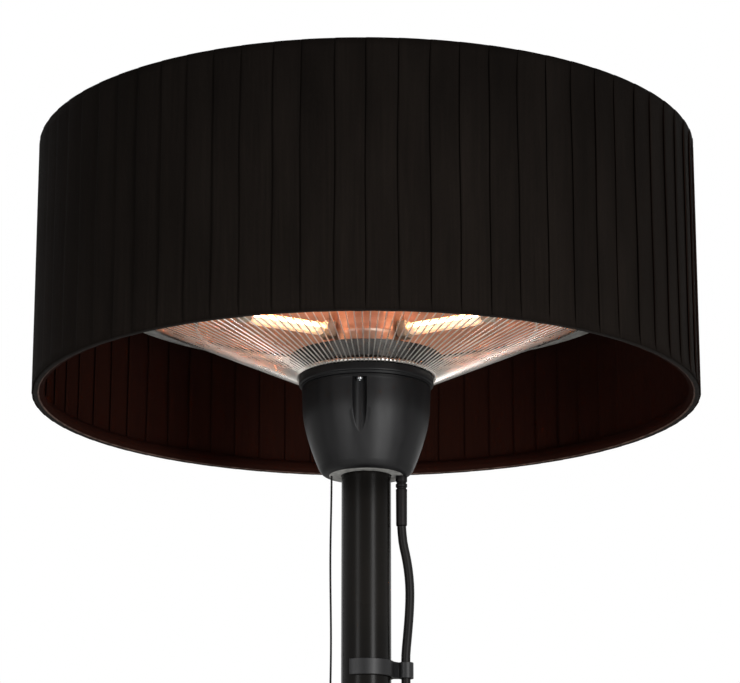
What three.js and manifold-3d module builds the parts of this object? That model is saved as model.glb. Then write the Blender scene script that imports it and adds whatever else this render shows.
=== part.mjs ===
// Infrared patio heater: three halogen tubes behind a wire cone, under a pleated drum shade on a pole.
// Millimetres, +Z up, origin on the floor under the middle of the base. The front looks along -Y.

import * as THREE from "three";
import { mergeVertices } from "three/addons/utils/BufferGeometryUtils.js";
import Module from "manifold-3d";

// Fits
const TOUCH = 0.3; // between two pieces that rest on each other
const SLIP = 0.5; // round a piece that is pushed or slides through another
const ROUND = 32; // facets of a large round piece
const SLIM = 20; // facets of the pole and what fits it
const SMALL = 10; // facets of a small round piece

// Base
const BASE_RADIUS = 225;
const BASE_ROUNDING = 14;
const COVER_WALL = 1.5;
const COVER_FLAT_RADIUS = 120;
const COVER_NECK_RADIUS = 34;
const COVER_NECK_RISE = 18;
const COVER_GROUND_GAP = 3;
const WEIGHT_INSET = 17; // from the cover's edge to the weight's
const WEIGHT_THICKNESS = 17;
const FOOT_RADIUS = 16;
const FOOT_HEIGHT = 5;
const FOOT_CHAMFER = 1.5;
const FOOT_INSET = 35; // from the base's edge to the middle of a foot
const FOOT_COUNT = 4;
const SOCKET_FLANGE_RADIUS = 45;
const SOCKET_FLANGE = 4;
const SOCKET_HEIGHT = 70;
const SOCKET_WALL = 3;
const BOLT_CIRCLE = 36;
const BOLT_RADIUS = 5;
const BOLT_HEAD = 4;
const BOLT_SHANK = 3;
const BOLT_DEPTH = 8;
const BOLT_COUNT = 3;

// Pole
const POLE_RADIUS = 19;
const POLE_WALL = 1.5;
const POLE_SECTION = 615;
const POLE_SECTIONS = 3;
const POLE_GRIP = 38; // length of pole inside the housing
const COUPLING_LENGTH = 100;
const COUPLING_WALL = 2;
const COUPLING_RIB = 3;

// Bell housing
const HOUSING_HEIGHT = 69;
const HOUSING_WALL = 2.5;
const HOUSING_RADIUS = 49.9;
const HOUSING_BELL = [
  [34, 0],
  [36.3, 4.7],
  [39.5, 12.5],
  [44.9, 28.5],
  [48.6, 44.3],
  [49.5, 60.2],
]; // radius and height above the underside, below the top edge
const SLEEVE_WALL = 3;
const CHANNEL_RADIUS = 5.3;
const CHANNEL_CIRCLE = 49;
const CHANNEL_WALL = 2;
const CHANNEL_ANGLE = -96; // the front one, a little left of the middle
const CHANNEL_COUNT = 3;
const SCREW_RADIUS = 2.6;
const SCREW_HEAD = 2.4;
const SCREW_SHANK = 1.5;
const SCREW_LENGTH = 8;
const CHASSIS_THICKNESS = 1.5;

// Collar
const COLLAR_HEIGHT = 8;
const COLLAR_RADIUS = 52.2;
const COLLAR_STEP = 1.6;
const COLLAR_WEB = 3;
const COLLAR_HOLE = 12;

// Pull switch, cord and knob
const PULL_X = -27;
const PULL_TRAVEL = 8;
const PULL_CORD = 1.6;
const PULL_CORD_LENGTH = 430;
const PULL_EXIT = 2.5;
const PLUNGER_RADIUS = 1.5;
const PLUNGER_BELOW = 3; // below the chassis plate when the cord is pulled right down
const PAWL_REACH = 1.3; // past the tips of the teeth
const PAWL_HEIGHT = 1.6;
const SWITCH_HEIGHT = 27;
const SWITCH_DEPTH = 12;
const SWITCH_WALL = 2;
const RATCHET_RADIUS = 10.7;
const RATCHET_ROOT = 8;
const RATCHET_TEETH = 8;
const RATCHET_WIDTH = 5;
const RATCHET_AXLE = 1.5;
const KNOB_RADIUS = 6.5;
const KNOB_HEIGHT = 26;
const KNOB_END_RADIUS = 3.9; // of its flat lower end
const KNOB_NECK_RADIUS = 4;
const KNOB_TIP_RADIUS = 2.6; // round the cord

// Tilt switch and terminal block
const TILT_WIDTH = 18;
const TILT_DEPTH = 18;
const TILT_HEIGHT = 20;
const TILT_WALL = 2;
const TILT_Y = 24;
const PENDULUM_LENGTH = 9;
const BOB_RADIUS = 3.6;
const PIVOT_RADIUS = 1;
const TERMINAL_LENGTH = 32;
const TERMINAL_DEPTH = 14;
const TERMINAL_HEIGHT = 15;
const TERMINAL_Y = -24;

// Post, heat dish and tubes
const POST_RADIUS = 29.6;
const POST_WALL = 1.5;
const POST_BEAD_HEIGHT = 32.5; // above the collar
const DISH_FLOOR_RADIUS = 49.5;
const DISH_RADIUS = 60;
const DISH_DEPTH = 15.5;
const DISH_WALL = 1;
const POST_BEAD = 0.6; // how far the bead stands out
const TUBE_COUNT = 3;
const TUBE_ANGLE = -30;
const TUBE_RADIUS = 5;
const TUBE_START = 38;
const TUBE_END = 103;
const TUBE_HEIGHT = 34.5; // above the collar
const PINCH_RADIUS = 2.4;
const PINCH_LENGTH = 5;
const HOLDER_WIDTH = 13;
const HOLDER_HEIGHT = 13;
const END_CAP_LENGTH = 8;
const END_CAP_WIDTH = 11;
const END_CAP_BELOW = 3.2;
const END_CAP_ABOVE = 7;
const BRACKET_WIDTH = 8;
const BRACKET_THICKNESS = 1.2;

// Grille
const GRILLE_WIRES = 108;
const GRILLE_WIRE = 0.75; // radius of a radial wire
const GRILLE_LOWER_RADIUS = 53.2;
const GRILLE_LOWER_WIRE = 1.5;
const GRILLE_UPPER_RADIUS = 186.7;
const GRILLE_UPPER_WIRE = 2;
const GRILLE_RISE = 61;
const HOOP_RADIUS = 133;
const HOOP_WIRE = 1.1;

// Dome and reflector
const DOME_RADIUS = 214.5;
const DOME_FLANGE_RISE = 2.8;
const DOME_LIP = 184.2;
const DOME_SKIRT = 6;
const DOME_RISE = 58;
const DOME_TOP_RADIUS = 40;
const DOME_WALL = 1.5;
const REFLECTOR_RISE = 34;
const REFLECTOR_WALL = 0.8;
const STUD_RADIUS = 4;
const STUD_HEIGHT = 16;
const NUT_RADIUS = 11;
const NUT_HEIGHT = 10;

// Shade
const SHADE_RADIUS = 257.5;
const SHADE_HEIGHT = 200;
const PLEATS = 72;
const PLEAT_DEPTH = 3.2;
const PLEAT_WALL = 1.4;
const FOLD_SHARE = 0.16; // part of a pleat taken by the step out to the next fold
const SHADE_WIRE = 2;
const RING_INSET = 3; // from the fabric's edge to the middle of the ring wire
const SPIDER_RISE = 46.7; // from the dome's top to the middle of the top ring
const SPIDER_ARMS = 3;
const SPIDER_ANGLE = 30; // of the first arm
const SPIDER_ELBOW_RADIUS = 200;
const SPIDER_STRIP = 2;
const SPIDER_WIDTH = 10;
const HUB_RADIUS = 18;
const HUB_THICKNESS = 3;

// Mains cable
const CABLE = 7;
const CABLE_X = 30;
const CABLE_Y = 3;
const CABLE_ROUTE = [
  [27, 0, 1801.5],
  [28, 0.5, 1789.8],
  [31, 1.5, 1774.8],
  [32.6, 2.2, 1762.8],
  [33.2, 2.8, 1750.8],
  [32.6, 3, 1733.8],
  [31, 3, 1714.8],
  [30, 3, 1703.1],
  [30, 3, 1679.1],
  [30, 3, 1092],
  [30, 3, 1068],
  [30, 3, 412],
  [30, 3, 388],
  [30, 3, 118],
  [30, 3, 82],
  [31.1, 6.5, 65.8],
  [34.3, 16.2, 53.2],
  [38.4, 29, 46.7],
  [48.1, 59, 37.3],
  [57.1, 86.9, 31.4],
  [66.2, 114.9, 28.1],
  [75.2, 142.9, 28.1],
  [90.3, 189.5, 28.1],
  [95.2, 204.7, 24.5],
  [100.2, 219.9, 16.6],
  [105.1, 235.2, 8.6],
  [110, 250.4, 5],
  [110, 274, 5],
  [110, 297.7, 5],
]; // from the boot, through the clips, over the base and down to the start of the coil
const BOOT_X = 27;
const BOOT_RADIUS = 4.4;
const BOOT_LENGTH = 39;
const BOOT_GROOVES = 2;
const BOOT_GROOVE = 0.8;
const BOOT_PITCH = 4.2;
const CLIP_HEIGHT = 12;
const CLIP_WALL = 2;
const CLIP_WEB = 6;
const CLIP_HALF_OPENING = 61;
const CLIP_DROP = 150; // from the housing's underside to the middle of the top clip
const CLIP_MIDDLE = 1080; // height of the second clip
const CLIP_LOWEST = 400;

// Coil of spare cable, its tie and the plug
const COIL_X = 60;
const COIL_Y = 305;
const COIL_RADIUS = 50;
const COIL_TURNS_IN = 3.25;
const COIL_TURNS_OUT = 3.5;
const COIL_GAP = 0.7;
const COIL_DIP = 3;
const COIL_STEPS = 16;
const COIL_SIDES = 6;
const TIE_THICKNESS = 1.2;
const TIE_WIDTH = 12;
const TAIL_TURN = 0.25;
const PLUG_RADIUS = 18.5;
const PLUG_SHOULDER_RADIUS = 11.5;
const PLUG_BODY = 30;
const PLUG_NECK_RADIUS = 6;
const PLUG_NECK = 22;
const PIN_RADIUS = 2.4;
const PIN_LENGTH = 19;
const PIN_SPACING = 19;

const wasm = await Module();
wasm.setup();
const root = new THREE.Group();

// Materials
const finish = (color, roughness, metalness = 0) =>
  new THREE.MeshStandardMaterial({ color, roughness, metalness });
const blackSteel = finish(0x17171a, 0.45, 0.6);
const blackPlastic = finish(0x1b1b1d, 0.42);
const chrome = finish(0xd8dadd, 0.12, 1);
const polished = finish(0xb9bcc2, 0.22, 1);
const zincPlated = finish(0xa7a9ab, 0.35, 1);
const castIron = finish(0x3a3a3c, 0.8, 0.6);
const rubber = finish(0x0f0f10, 0.85);
const ceramic = finish(0xe9e4da, 0.6);
const quartz = finish(0xffc46a, 0.1);
const fabric = finish(0x191715, 0.95);
const nylonCord = finish(0x1a1a1a, 0.8);
const creamPlastic = finish(0xb8b29f, 0.5);

// Helpers

function toSolid(geometry) {
  const bare = new THREE.BufferGeometry();
  bare.setAttribute("position", geometry.getAttribute("position").clone());
  if (geometry.index) bare.setIndex(geometry.index.clone());
  const merged = mergeVertices(bare, 1e-4);
  return new wasm.Manifold(
    new wasm.Mesh({
      numProp: 3,
      vertProperties: merged.getAttribute("position").array,
      triVerts: new Uint32Array(merged.index.array),
    }),
  );
}

function toGeometry(solid) {
  const mesh = solid.getMesh();
  const geometry = new THREE.BufferGeometry();
  geometry.setAttribute("position", new THREE.BufferAttribute(mesh.vertProperties, mesh.numProp));
  geometry.setIndex(new THREE.BufferAttribute(mesh.triVerts, 1));
  return geometry;
}

const join = (...pieces) => toGeometry(wasm.Manifold.union(pieces.map(toSolid)));

function cut(body, ...tools) {
  return toGeometry(toSolid(body).subtract(wasm.Manifold.union(tools.map(toSolid))));
}

function add(name, geometry, material) {
  const mesh = new THREE.Mesh(geometry, material);
  mesh.name = name;
  root.add(mesh);
  return mesh;
}

// A profile of [radius, height] points turned about Z. It ends on the axis or is closed here.
function revolve(profile, facets = ROUND) {
  const points = profile.map(([radius, height]) => new THREE.Vector2(radius, height));
  if (THREE.ShapeUtils.isClockWise(points)) points.reverse();
  const first = points[0];
  const last = points.at(-1);
  if (first.x !== 0 || last.x !== 0) points.push(first.clone());
  return new THREE.LatheGeometry(points, facets).rotateX(Math.PI / 2);
}

const rod = (radius, low, high, facets = SMALL) =>
  new THREE.CylinderGeometry(radius, radius, high - low, facets)
    .rotateX(Math.PI / 2)
    .translate(0, 0, (low + high) / 2);

const sleeve = (outer, inner, low, high, facets = ROUND) =>
  revolve(
    [
      [inner, low],
      [outer, low],
      [outer, high],
      [inner, high],
    ],
    facets,
  );

function box(xs, ys, zs) {
  return new THREE.BoxGeometry(xs[1] - xs[0], ys[1] - ys[0], zs[1] - zs[0]).translate(
    (xs[0] + xs[1]) / 2,
    (ys[0] + ys[1]) / 2,
    (zs[0] + zs[1]) / 2,
  );
}

// A ring of round wire. One side of its section faces the given direction, in radians above outwards.
function wireRing(radius, height, wire, facets, facing = 0) {
  const sides = 4;
  const section = [];
  for (let i = 0; i < sides; i++) {
    const angle = facing + (2 * Math.PI * (i + 0.5)) / sides;
    section.push([radius + wire * Math.cos(angle), height + wire * Math.sin(angle)]);
  }
  return revolve(section, facets);
}

const spin = (geometry, degrees) => geometry.rotateZ(THREE.MathUtils.degToRad(degrees));

const around = (count, start, make) =>
  Array.from({ length: count }, (_, i) => make(start + (360 * i) / count, i + 1));

// Heights, from the floor up
const weightLow = FOOT_HEIGHT + TOUCH;
const weightTop = weightLow + WEIGHT_THICKNESS;
const socketLow = weightTop + TOUCH;
const flangeTop = socketLow + SOCKET_FLANGE;
const coverTop = weightTop + TOUCH + COVER_WALL;
const poleLow = flangeTop + TOUCH;
const sectionStep = POLE_SECTION + COUPLING_RIB + 2 * TOUCH;
const poleTop = poleLow + (POLE_SECTIONS - 1) * sectionStep + POLE_SECTION;
const housingLow = poleTop - POLE_GRIP;
const housingTop = housingLow + HOUSING_HEIGHT;
const collarLow = housingTop + TOUCH;
const collarTop = collarLow + COLLAR_HEIGHT;
const grilleLow = collarTop + TOUCH + GRILLE_LOWER_WIRE;
const grilleHigh = grilleLow + GRILLE_RISE;
const flangeLow = grilleHigh + GRILLE_UPPER_WIRE + TOUCH;
const domeEdge = flangeLow + DOME_FLANGE_RISE;
const domeTop = domeEdge + DOME_SKIRT + DOME_RISE;
const hubLow = domeTop + TOUCH;
const ringHigh = hubLow + SPIDER_RISE;
const shadeTop = ringHigh + RING_INSET;
const shadeLow = shadeTop - SHADE_HEIGHT;
const ringLow = shadeLow + RING_INSET;
const deckLow = poleTop + TOUCH + SLEEVE_WALL + TOUCH;
const deckTop = deckLow + CHASSIS_THICKNESS;
const switchFloor = deckTop + TOUCH;
const plungerLow = deckLow - PULL_TRAVEL - PLUNGER_BELOW;
const coilLow = TIE_THICKNESS + TOUCH + CABLE / 2;
const bootTop = housingLow - TOUCH;
const bootLow = bootTop - BOOT_LENGTH;

function makeWeight() {
  const boltHoles = around(BOLT_COUNT, 90, (angle) =>
    spin(
      rod(BOLT_SHANK + SLIP, weightTop - BOLT_DEPTH - SLIP, weightTop + 1).translate(BOLT_CIRCLE, 0, 0),
      angle,
    ),
  );
  const weightRadius = BASE_RADIUS - WEIGHT_INSET;
  add("base_weight", cut(rod(weightRadius, weightLow, weightTop, ROUND), ...boltHoles), castIron);
}

// The cover lies on the weight, turns down round its edge and rises to a neck round the socket.
function makeCover() {
  const neck = POLE_RADIUS + SLIP + SOCKET_WALL + SLIP;
  const skin = (inset) => {
    const radius = BASE_RADIUS - inset;
    const rounding = BASE_ROUNDING - inset;
    const top = coverTop - inset;
    const points = [[radius, COVER_GROUND_GAP]];
    for (let i = 0; i <= 2; i++) {
      const angle = (Math.PI / 2) * (i / 2);
      points.push([
        radius - rounding + rounding * Math.cos(angle),
        top - rounding + rounding * Math.sin(angle),
      ]);
    }
    points.push([COVER_FLAT_RADIUS, top]);
    points.push([COVER_NECK_RADIUS, top + COVER_NECK_RISE]);
    points.push([neck, top + COVER_NECK_RISE + inset * 0.5]);
    return points;
  };
  add("base_cover", revolve([...skin(0), ...skin(COVER_WALL).reverse()]), blackSteel);
}

function makeFeet() {
  around(FOOT_COUNT, 45, (angle, i) => {
    const profile = [
      [0, 0],
      [FOOT_RADIUS - FOOT_CHAMFER, 0],
      [FOOT_RADIUS, FOOT_CHAMFER],
      [FOOT_RADIUS, FOOT_HEIGHT],
      [0, FOOT_HEIGHT],
    ];
    const foot = revolve(profile, SMALL).translate(BASE_RADIUS - FOOT_INSET, 0, 0);
    add(`rubber_foot_${i}`, spin(foot, angle), rubber);
  });
}

// The socket stands on a flange that three bolts hold on the weight.
function makeSocket() {
  const bore = POLE_RADIUS + SLIP;
  const socket = revolve([
    [0, socketLow],
    [SOCKET_FLANGE_RADIUS, socketLow],
    [SOCKET_FLANGE_RADIUS, flangeTop],
    [bore + SOCKET_WALL, flangeTop],
    [bore + SOCKET_WALL, socketLow + SOCKET_HEIGHT],
    [bore, socketLow + SOCKET_HEIGHT],
    [bore, flangeTop],
    [0, flangeTop],
  ], SLIM);
  const bolts = around(BOLT_COUNT, 90, (angle) =>
    spin(
      join(
        rod(BOLT_RADIUS, flangeTop - 1, flangeTop + BOLT_HEAD, 6),
        rod(BOLT_SHANK, weightTop - BOLT_DEPTH, flangeTop),
      ).translate(BOLT_CIRCLE, 0, 0),
      angle,
    ),
  );
  add("pole_socket", join(socket, ...bolts), zincPlated);
}

function makePole() {
  const names = ["pole_lower", "pole_middle", "pole_upper"];
  names.forEach((name, i) => {
    const low = poleLow + i * sectionStep;
    add(name, sleeve(POLE_RADIUS, POLE_RADIUS - POLE_WALL, low, low + POLE_SECTION, SLIM), blackSteel);
  });
  const fit = POLE_RADIUS - POLE_WALL - TOUCH;
  for (let i = 1; i < POLE_SECTIONS; i++) {
    const rib = poleLow + i * sectionStep - TOUCH - COUPLING_RIB;
    const middle = rib + COUPLING_RIB / 2;
    const coupling = revolve([
      [fit - COUPLING_WALL, middle - COUPLING_LENGTH / 2],
      [fit, middle - COUPLING_LENGTH / 2],
      [fit, rib],
      [POLE_RADIUS, rib],
      [POLE_RADIUS, rib + COUPLING_RIB],
      [fit, rib + COUPLING_RIB],
      [fit, middle + COUPLING_LENGTH / 2],
      [fit - COUPLING_WALL, middle + COUPLING_LENGTH / 2],
    ], SLIM);
    add(`pole_coupling_${i}`, coupling, zincPlated);
  }
}

// Each screw hangs head down under the top of its channel, beside the channel's wall.
const channelTop = housingTop - HOUSING_WALL;
const screwX = CHANNEL_CIRCLE - CHANNEL_RADIUS + SCREW_RADIUS + SLIP + TOUCH;
const screwPlace = (piece, angle) => spin(piece.translate(screwX, 0, 0), angle);

function makeHousing() {
  const bell = HOUSING_BELL.map(([radius, height]) => [radius, housingLow + height]);
  const outside = [...bell, [HOUSING_RADIUS, housingTop]];
  const inside = outside
    .filter((_, i) => i % 2 === 0)
    .map(([radius, height]) => [radius - HOUSING_WALL, height]);
  inside[0][1] += HOUSING_WALL;
  const bore = POLE_RADIUS + TOUCH;
  const shell = revolve([
    [bore, housingLow],
    ...outside,
    ...inside.reverse(),
    [bore + SLEEVE_WALL, housingLow + HOUSING_WALL],
    [bore + SLEEVE_WALL, poleTop + TOUCH + SLEEVE_WALL],
    [bore - SLEEVE_WALL - 1, poleTop + TOUCH + SLEEVE_WALL],
    [bore - SLEEVE_WALL - 1, poleTop + TOUCH],
    [bore, poleTop + TOUCH],
  ]);

  // Each screw sits at the top of a channel that is sunk into the outside of the bell.
  const solidBell = revolve([[0, housingLow], ...outside, [0, housingTop]]);
  const place = (piece, angle) => spin(piece.translate(CHANNEL_CIRCLE, 0, 0), angle);
  const walls = around(CHANNEL_COUNT, CHANNEL_ANGLE, (angle) =>
    place(rod(CHANNEL_RADIUS + CHANNEL_WALL, housingLow, housingTop, SMALL), angle),
  );
  const channels = around(CHANNEL_COUNT, CHANNEL_ANGLE, (angle) =>
    place(rod(CHANNEL_RADIUS, housingLow - 1, channelTop), angle),
  );
  const screwHoles = around(CHANNEL_COUNT, CHANNEL_ANGLE, (angle) =>
    screwPlace(rod(SCREW_SHANK + SLIP, channelTop - 1, housingTop + 1), angle),
  );
  const cordHole = rod(PULL_EXIT, housingLow - 1, housingLow + HOUSING_WALL + 1);
  cordHole.translate(PULL_X, 0, 0);
  const walled = toSolid(shell)
    .add(wasm.Manifold.union(walls.map(toSolid)).intersect(toSolid(solidBell)))
    .subtract(wasm.Manifold.union([...channels, ...screwHoles, cordHole].map(toSolid)));
  add("bell_housing", toGeometry(walled), blackPlastic);
}

function makeScrews() {
  const headTop = channelTop - TOUCH;
  around(CHANNEL_COUNT, CHANNEL_ANGLE, (angle, i) => {
    const screw = join(
      rod(SCREW_RADIUS, headTop - SCREW_HEAD, headTop),
      rod(SCREW_SHANK, headTop - 1, headTop + SCREW_LENGTH),
    );
    add(`housing_screw_${i}`, screwPlace(screw, angle), zincPlated);
  });
}

// The collar closes the bell and carries the post, the dish and the grille.
function makeCollar() {
  const lip = COLLAR_RADIUS - COLLAR_STEP;
  const wall = lip - HOUSING_RADIUS + 2 * CHANNEL_RADIUS;
  const collar = revolve([
    [COLLAR_HOLE, collarTop - COLLAR_WEB],
    [lip - wall, collarTop - COLLAR_WEB],
    [lip - wall, collarLow],
    [lip, collarLow],
    [lip, collarLow + 2],
    [COLLAR_RADIUS, collarLow + 3],
    [COLLAR_RADIUS, collarTop],
    [COLLAR_HOLE, collarTop],
  ]);
  const threads = around(CHANNEL_COUNT, CHANNEL_ANGLE, (angle) =>
    screwPlace(rod(SCREW_SHANK + TOUCH, collarLow - 1, channelTop + SCREW_LENGTH + TOUCH), angle),
  );
  add("collar_cap", cut(collar, ...threads), blackPlastic);
}

function makeChassis() {
  const clearance = CHANNEL_RADIUS + CHANNEL_WALL + SLIP;
  const chassis = cut(
    rod(HOUSING_BELL[2][0], deckLow, deckTop, SLIM),
    rod(COLLAR_HOLE, deckLow - 1, deckTop + 1),
    rod(PLUNGER_RADIUS + SLIP, deckLow - 1, deckTop + 1).translate(PULL_X, 0, 0),
    rod(CABLE / 2 + SLIP, deckLow - 1, deckTop + 1).translate(BOOT_X, 0, 0),
    ...around(CHANNEL_COUNT, CHANNEL_ANGLE, (angle) =>
      spin(rod(clearance, deckLow - 1, deckTop + 1).translate(CHANNEL_CIRCLE, 0, 0), angle),
    ),
  );
  add("chassis_plate", chassis, zincPlated);
}

// The pull switch: at each pull the plunger's pawl pushes the toothed wheel round by one tooth.
function makePullSwitch() {
  const floor = switchFloor;
  const roof = floor + SWITCH_HEIGHT;
  const wheelX = PULL_X + PLUNGER_RADIUS + SLIP + RATCHET_RADIUS;
  const wheelZ = floor + SWITCH_WALL + SLIP + RATCHET_RADIUS;
  const left = PULL_X - PLUNGER_RADIUS - SLIP;
  const right = wheelX + RATCHET_RADIUS + SLIP;
  const half = SWITCH_DEPTH / 2;
  const axle = (radius, length) =>
    new THREE.CylinderGeometry(radius, radius, length, SMALL).translate(wheelX, 0, wheelZ);
  const body = cut(
    box([left - SWITCH_WALL, right + SWITCH_WALL], [-half, half], [floor, roof]),
    box([left, right], [SWITCH_WALL - half, half - SWITCH_WALL], [floor + SWITCH_WALL, roof + 1]),
    rod(PLUNGER_RADIUS + SLIP, floor - 1, floor + SWITCH_WALL + 1).translate(PULL_X, 0, 0),
    axle(RATCHET_AXLE + TOUCH, SWITCH_DEPTH + 2),
  );
  add("pull_switch_body", body, creamPlastic);

  const halfTooth = 180 / RATCHET_TEETH;
  const outline = [];
  around(RATCHET_TEETH, 180 - halfTooth, (degrees) => {
    const angle = THREE.MathUtils.degToRad(degrees);
    for (const radius of [RATCHET_ROOT, RATCHET_RADIUS]) {
      outline.push(new THREE.Vector2(radius * Math.cos(angle), radius * Math.sin(angle)));
    }
  });
  const toothed = new THREE.ExtrudeGeometry(new THREE.Shape(outline), {
    depth: RATCHET_WIDTH,
    bevelEnabled: false,
  });
  toothed.translate(0, 0, -RATCHET_WIDTH / 2).rotateX(Math.PI / 2).translate(wheelX, 0, wheelZ);
  add("ratchet_wheel", join(toothed, axle(RATCHET_AXLE, SWITCH_DEPTH)), creamPlastic);

  const tipRise = RATCHET_RADIUS * Math.sin(THREE.MathUtils.degToRad(halfTooth));
  const pawlLow = wheelZ + tipRise + TOUCH;
  const pawlTop = pawlLow + PAWL_HEIGHT;
  const plunger = join(
    rod(PLUNGER_RADIUS, plungerLow, pawlTop),
    box(
      [0, PLUNGER_RADIUS + SLIP + PAWL_REACH],
      [-RATCHET_WIDTH / 2, RATCHET_WIDTH / 2],
      [pawlLow, pawlTop],
    ),
  );
  add("pull_plunger", plunger.translate(PULL_X, 0, 0), zincPlated);
}

// The cord hangs from the plunger through the housing's underside and ends in a knob.
function makePullCord() {
  const cordTop = plungerLow - TOUCH;
  const cordLow = cordTop - PULL_CORD_LENGTH;
  add("pull_cord", rod(PULL_CORD / 2, cordLow, cordTop, 8).translate(PULL_X, 0, 0), nylonCord);
  const knobTop = cordLow - TOUCH;
  const knobLow = knobTop - KNOB_HEIGHT;
  const knob = revolve([
    [0, knobLow],
    [KNOB_END_RADIUS, knobLow],
    [KNOB_RADIUS - 0.5, knobLow + 2],
    [KNOB_RADIUS, knobLow + 6],
    [KNOB_NECK_RADIUS, knobTop - 6],
    [KNOB_TIP_RADIUS, knobTop],
    [0, knobTop],
  ], SMALL);
  add("pull_knob", knob.translate(PULL_X, 0, 0), blackPlastic);
}

// The tilt switch: a bob hangs from a pivot across an open case.
function makeTiltSwitch() {
  const floor = switchFloor;
  const tiltTop = floor + TILT_HEIGHT;
  const pivotZ = tiltTop - TILT_WALL - PIVOT_RADIUS;
  const pivot = (radius, length) =>
    new THREE.CylinderGeometry(radius, radius, length, SMALL)
      .rotateZ(Math.PI / 2)
      .translate(0, TILT_Y, pivotZ);
  const tiltBox = (inset, low, high) => {
    const wide = TILT_WIDTH / 2 - inset;
    const deep = TILT_DEPTH / 2 - inset;
    return box([-wide, wide], [TILT_Y - deep, TILT_Y + deep], [low, high]);
  };
  const tiltBody = cut(
    tiltBox(0, floor, tiltTop),
    tiltBox(TILT_WALL, floor + TILT_WALL, tiltTop + 1),
    pivot(PIVOT_RADIUS + TOUCH, TILT_WIDTH + 2),
  );
  add("tilt_switch_body", tiltBody, creamPlastic);
  const bob = new THREE.SphereGeometry(BOB_RADIUS, 8, 5).translate(0, TILT_Y, pivotZ - PENDULUM_LENGTH);
  const stem = rod(PIVOT_RADIUS, pivotZ - PENDULUM_LENGTH, pivotZ).translate(0, TILT_Y, 0);
  add("tilt_pendulum", join(pivot(PIVOT_RADIUS, TILT_WIDTH), stem, bob), zincPlated);
}

function makeTerminalBlock() {
  const top = switchFloor + TERMINAL_HEIGHT;
  const block = box(
    [-TERMINAL_LENGTH / 2, TERMINAL_LENGTH / 2],
    [TERMINAL_Y - TERMINAL_DEPTH / 2, TERMINAL_Y + TERMINAL_DEPTH / 2],
    [switchFloor, top],
  );
  const screwWells = [-1, 0, 1].map((i) =>
    rod(SCREW_RADIUS, top - TERMINAL_HEIGHT / 2, top + 1)
      .translate((i * TERMINAL_LENGTH) / 3, TERMINAL_Y, 0),
  );
  add("terminal_block", cut(block, ...screwWells), creamPlastic);
}

function makeDish() {
  const dishLow = collarTop + TOUCH;
  const outer = [
    [POST_RADIUS + SLIP, dishLow],
    [DISH_FLOOR_RADIUS, dishLow],
    [DISH_RADIUS, dishLow + DISH_DEPTH],
  ];
  const inner = [
    [DISH_RADIUS - DISH_WALL * 1.2, dishLow + DISH_DEPTH],
    [DISH_FLOOR_RADIUS - DISH_WALL * 0.55, dishLow + DISH_WALL],
    [POST_RADIUS + SLIP, dishLow + DISH_WALL],
  ];
  add("heat_dish", revolve([...outer, ...inner]), polished);
}

function makePost() {
  const low = collarTop + TOUCH;
  const postTop = domeTop - DOME_WALL - TOUCH;
  const bead = collarTop + POST_BEAD_HEIGHT;
  add("centre_post", revolve([
    [POST_RADIUS - POST_WALL, low],
    [POST_RADIUS, low],
    [POST_RADIUS, bead - 1],
    [POST_RADIUS + POST_BEAD, bead],
    [POST_RADIUS, bead + 1],
    [POST_RADIUS, postTop],
    [POST_RADIUS - POST_WALL, postTop],
  ]), polished);
}

// The tubes lie flat, like spokes, and each hangs between the post and a bracket on the reflector.
function makeTubes() {
  const axis = collarTop + TUBE_HEIGHT;
  const holderStart = POST_RADIUS + POST_BEAD + TOUCH;
  const alongX = (radius, from, to, facets = SMALL) =>
    new THREE.CylinderGeometry(radius, radius, to - from, facets)
      .rotateZ(Math.PI / 2)
      .translate((from + to) / 2, 0, axis);
  around(TUBE_COUNT, TUBE_ANGLE, (angle, i) => {
    const glass = join(
      alongX(TUBE_RADIUS, TUBE_START + TOUCH, TUBE_END - TOUCH, 14),
      alongX(PINCH_RADIUS, TUBE_START - PINCH_LENGTH, TUBE_END + PINCH_LENGTH),
    );
    add(`halogen_tube_${i}`, spin(glass, angle), quartz);

    const holder = cut(
      box(
        [holderStart, TUBE_START],
        [-HOLDER_WIDTH / 2, HOLDER_WIDTH / 2],
        [axis - HOLDER_HEIGHT / 2, axis + HOLDER_HEIGHT / 2],
      ),
      alongX(PINCH_RADIUS + TOUCH, TUBE_START - PINCH_LENGTH - TOUCH, TUBE_START + 1),
    );
    add(`tube_holder_${i}`, spin(holder, angle), ceramic);

    const cap = cut(
      box(
        [TUBE_END, TUBE_END + END_CAP_LENGTH],
        [-END_CAP_WIDTH / 2, END_CAP_WIDTH / 2],
        [axis - END_CAP_BELOW, axis + END_CAP_ABOVE],
      ),
      alongX(PINCH_RADIUS + TOUCH, TUBE_END - 1, TUBE_END + PINCH_LENGTH + TOUCH),
    );
    add(`tube_end_cap_${i}`, spin(cap, angle), ceramic);

    const bracketX = TUBE_END + END_CAP_LENGTH + TOUCH;
    const bracket = join(
      box(
        [bracketX, bracketX + BRACKET_THICKNESS],
        [-BRACKET_WIDTH / 2, BRACKET_WIDTH / 2],
        [axis - END_CAP_BELOW + 2, reflectorHeight(bracketX + BRACKET_WIDTH) - TOUCH],
      ),
      box(
        [bracketX - BRACKET_WIDTH, bracketX + BRACKET_THICKNESS],
        [-BRACKET_WIDTH / 2, BRACKET_WIDTH / 2],
        [axis + END_CAP_ABOVE + TOUCH, axis + END_CAP_ABOVE + TOUCH + BRACKET_THICKNESS],
      ),
    );
    add(`tube_bracket_${i}`, spin(bracket, angle), zincPlated);
  });
}

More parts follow.
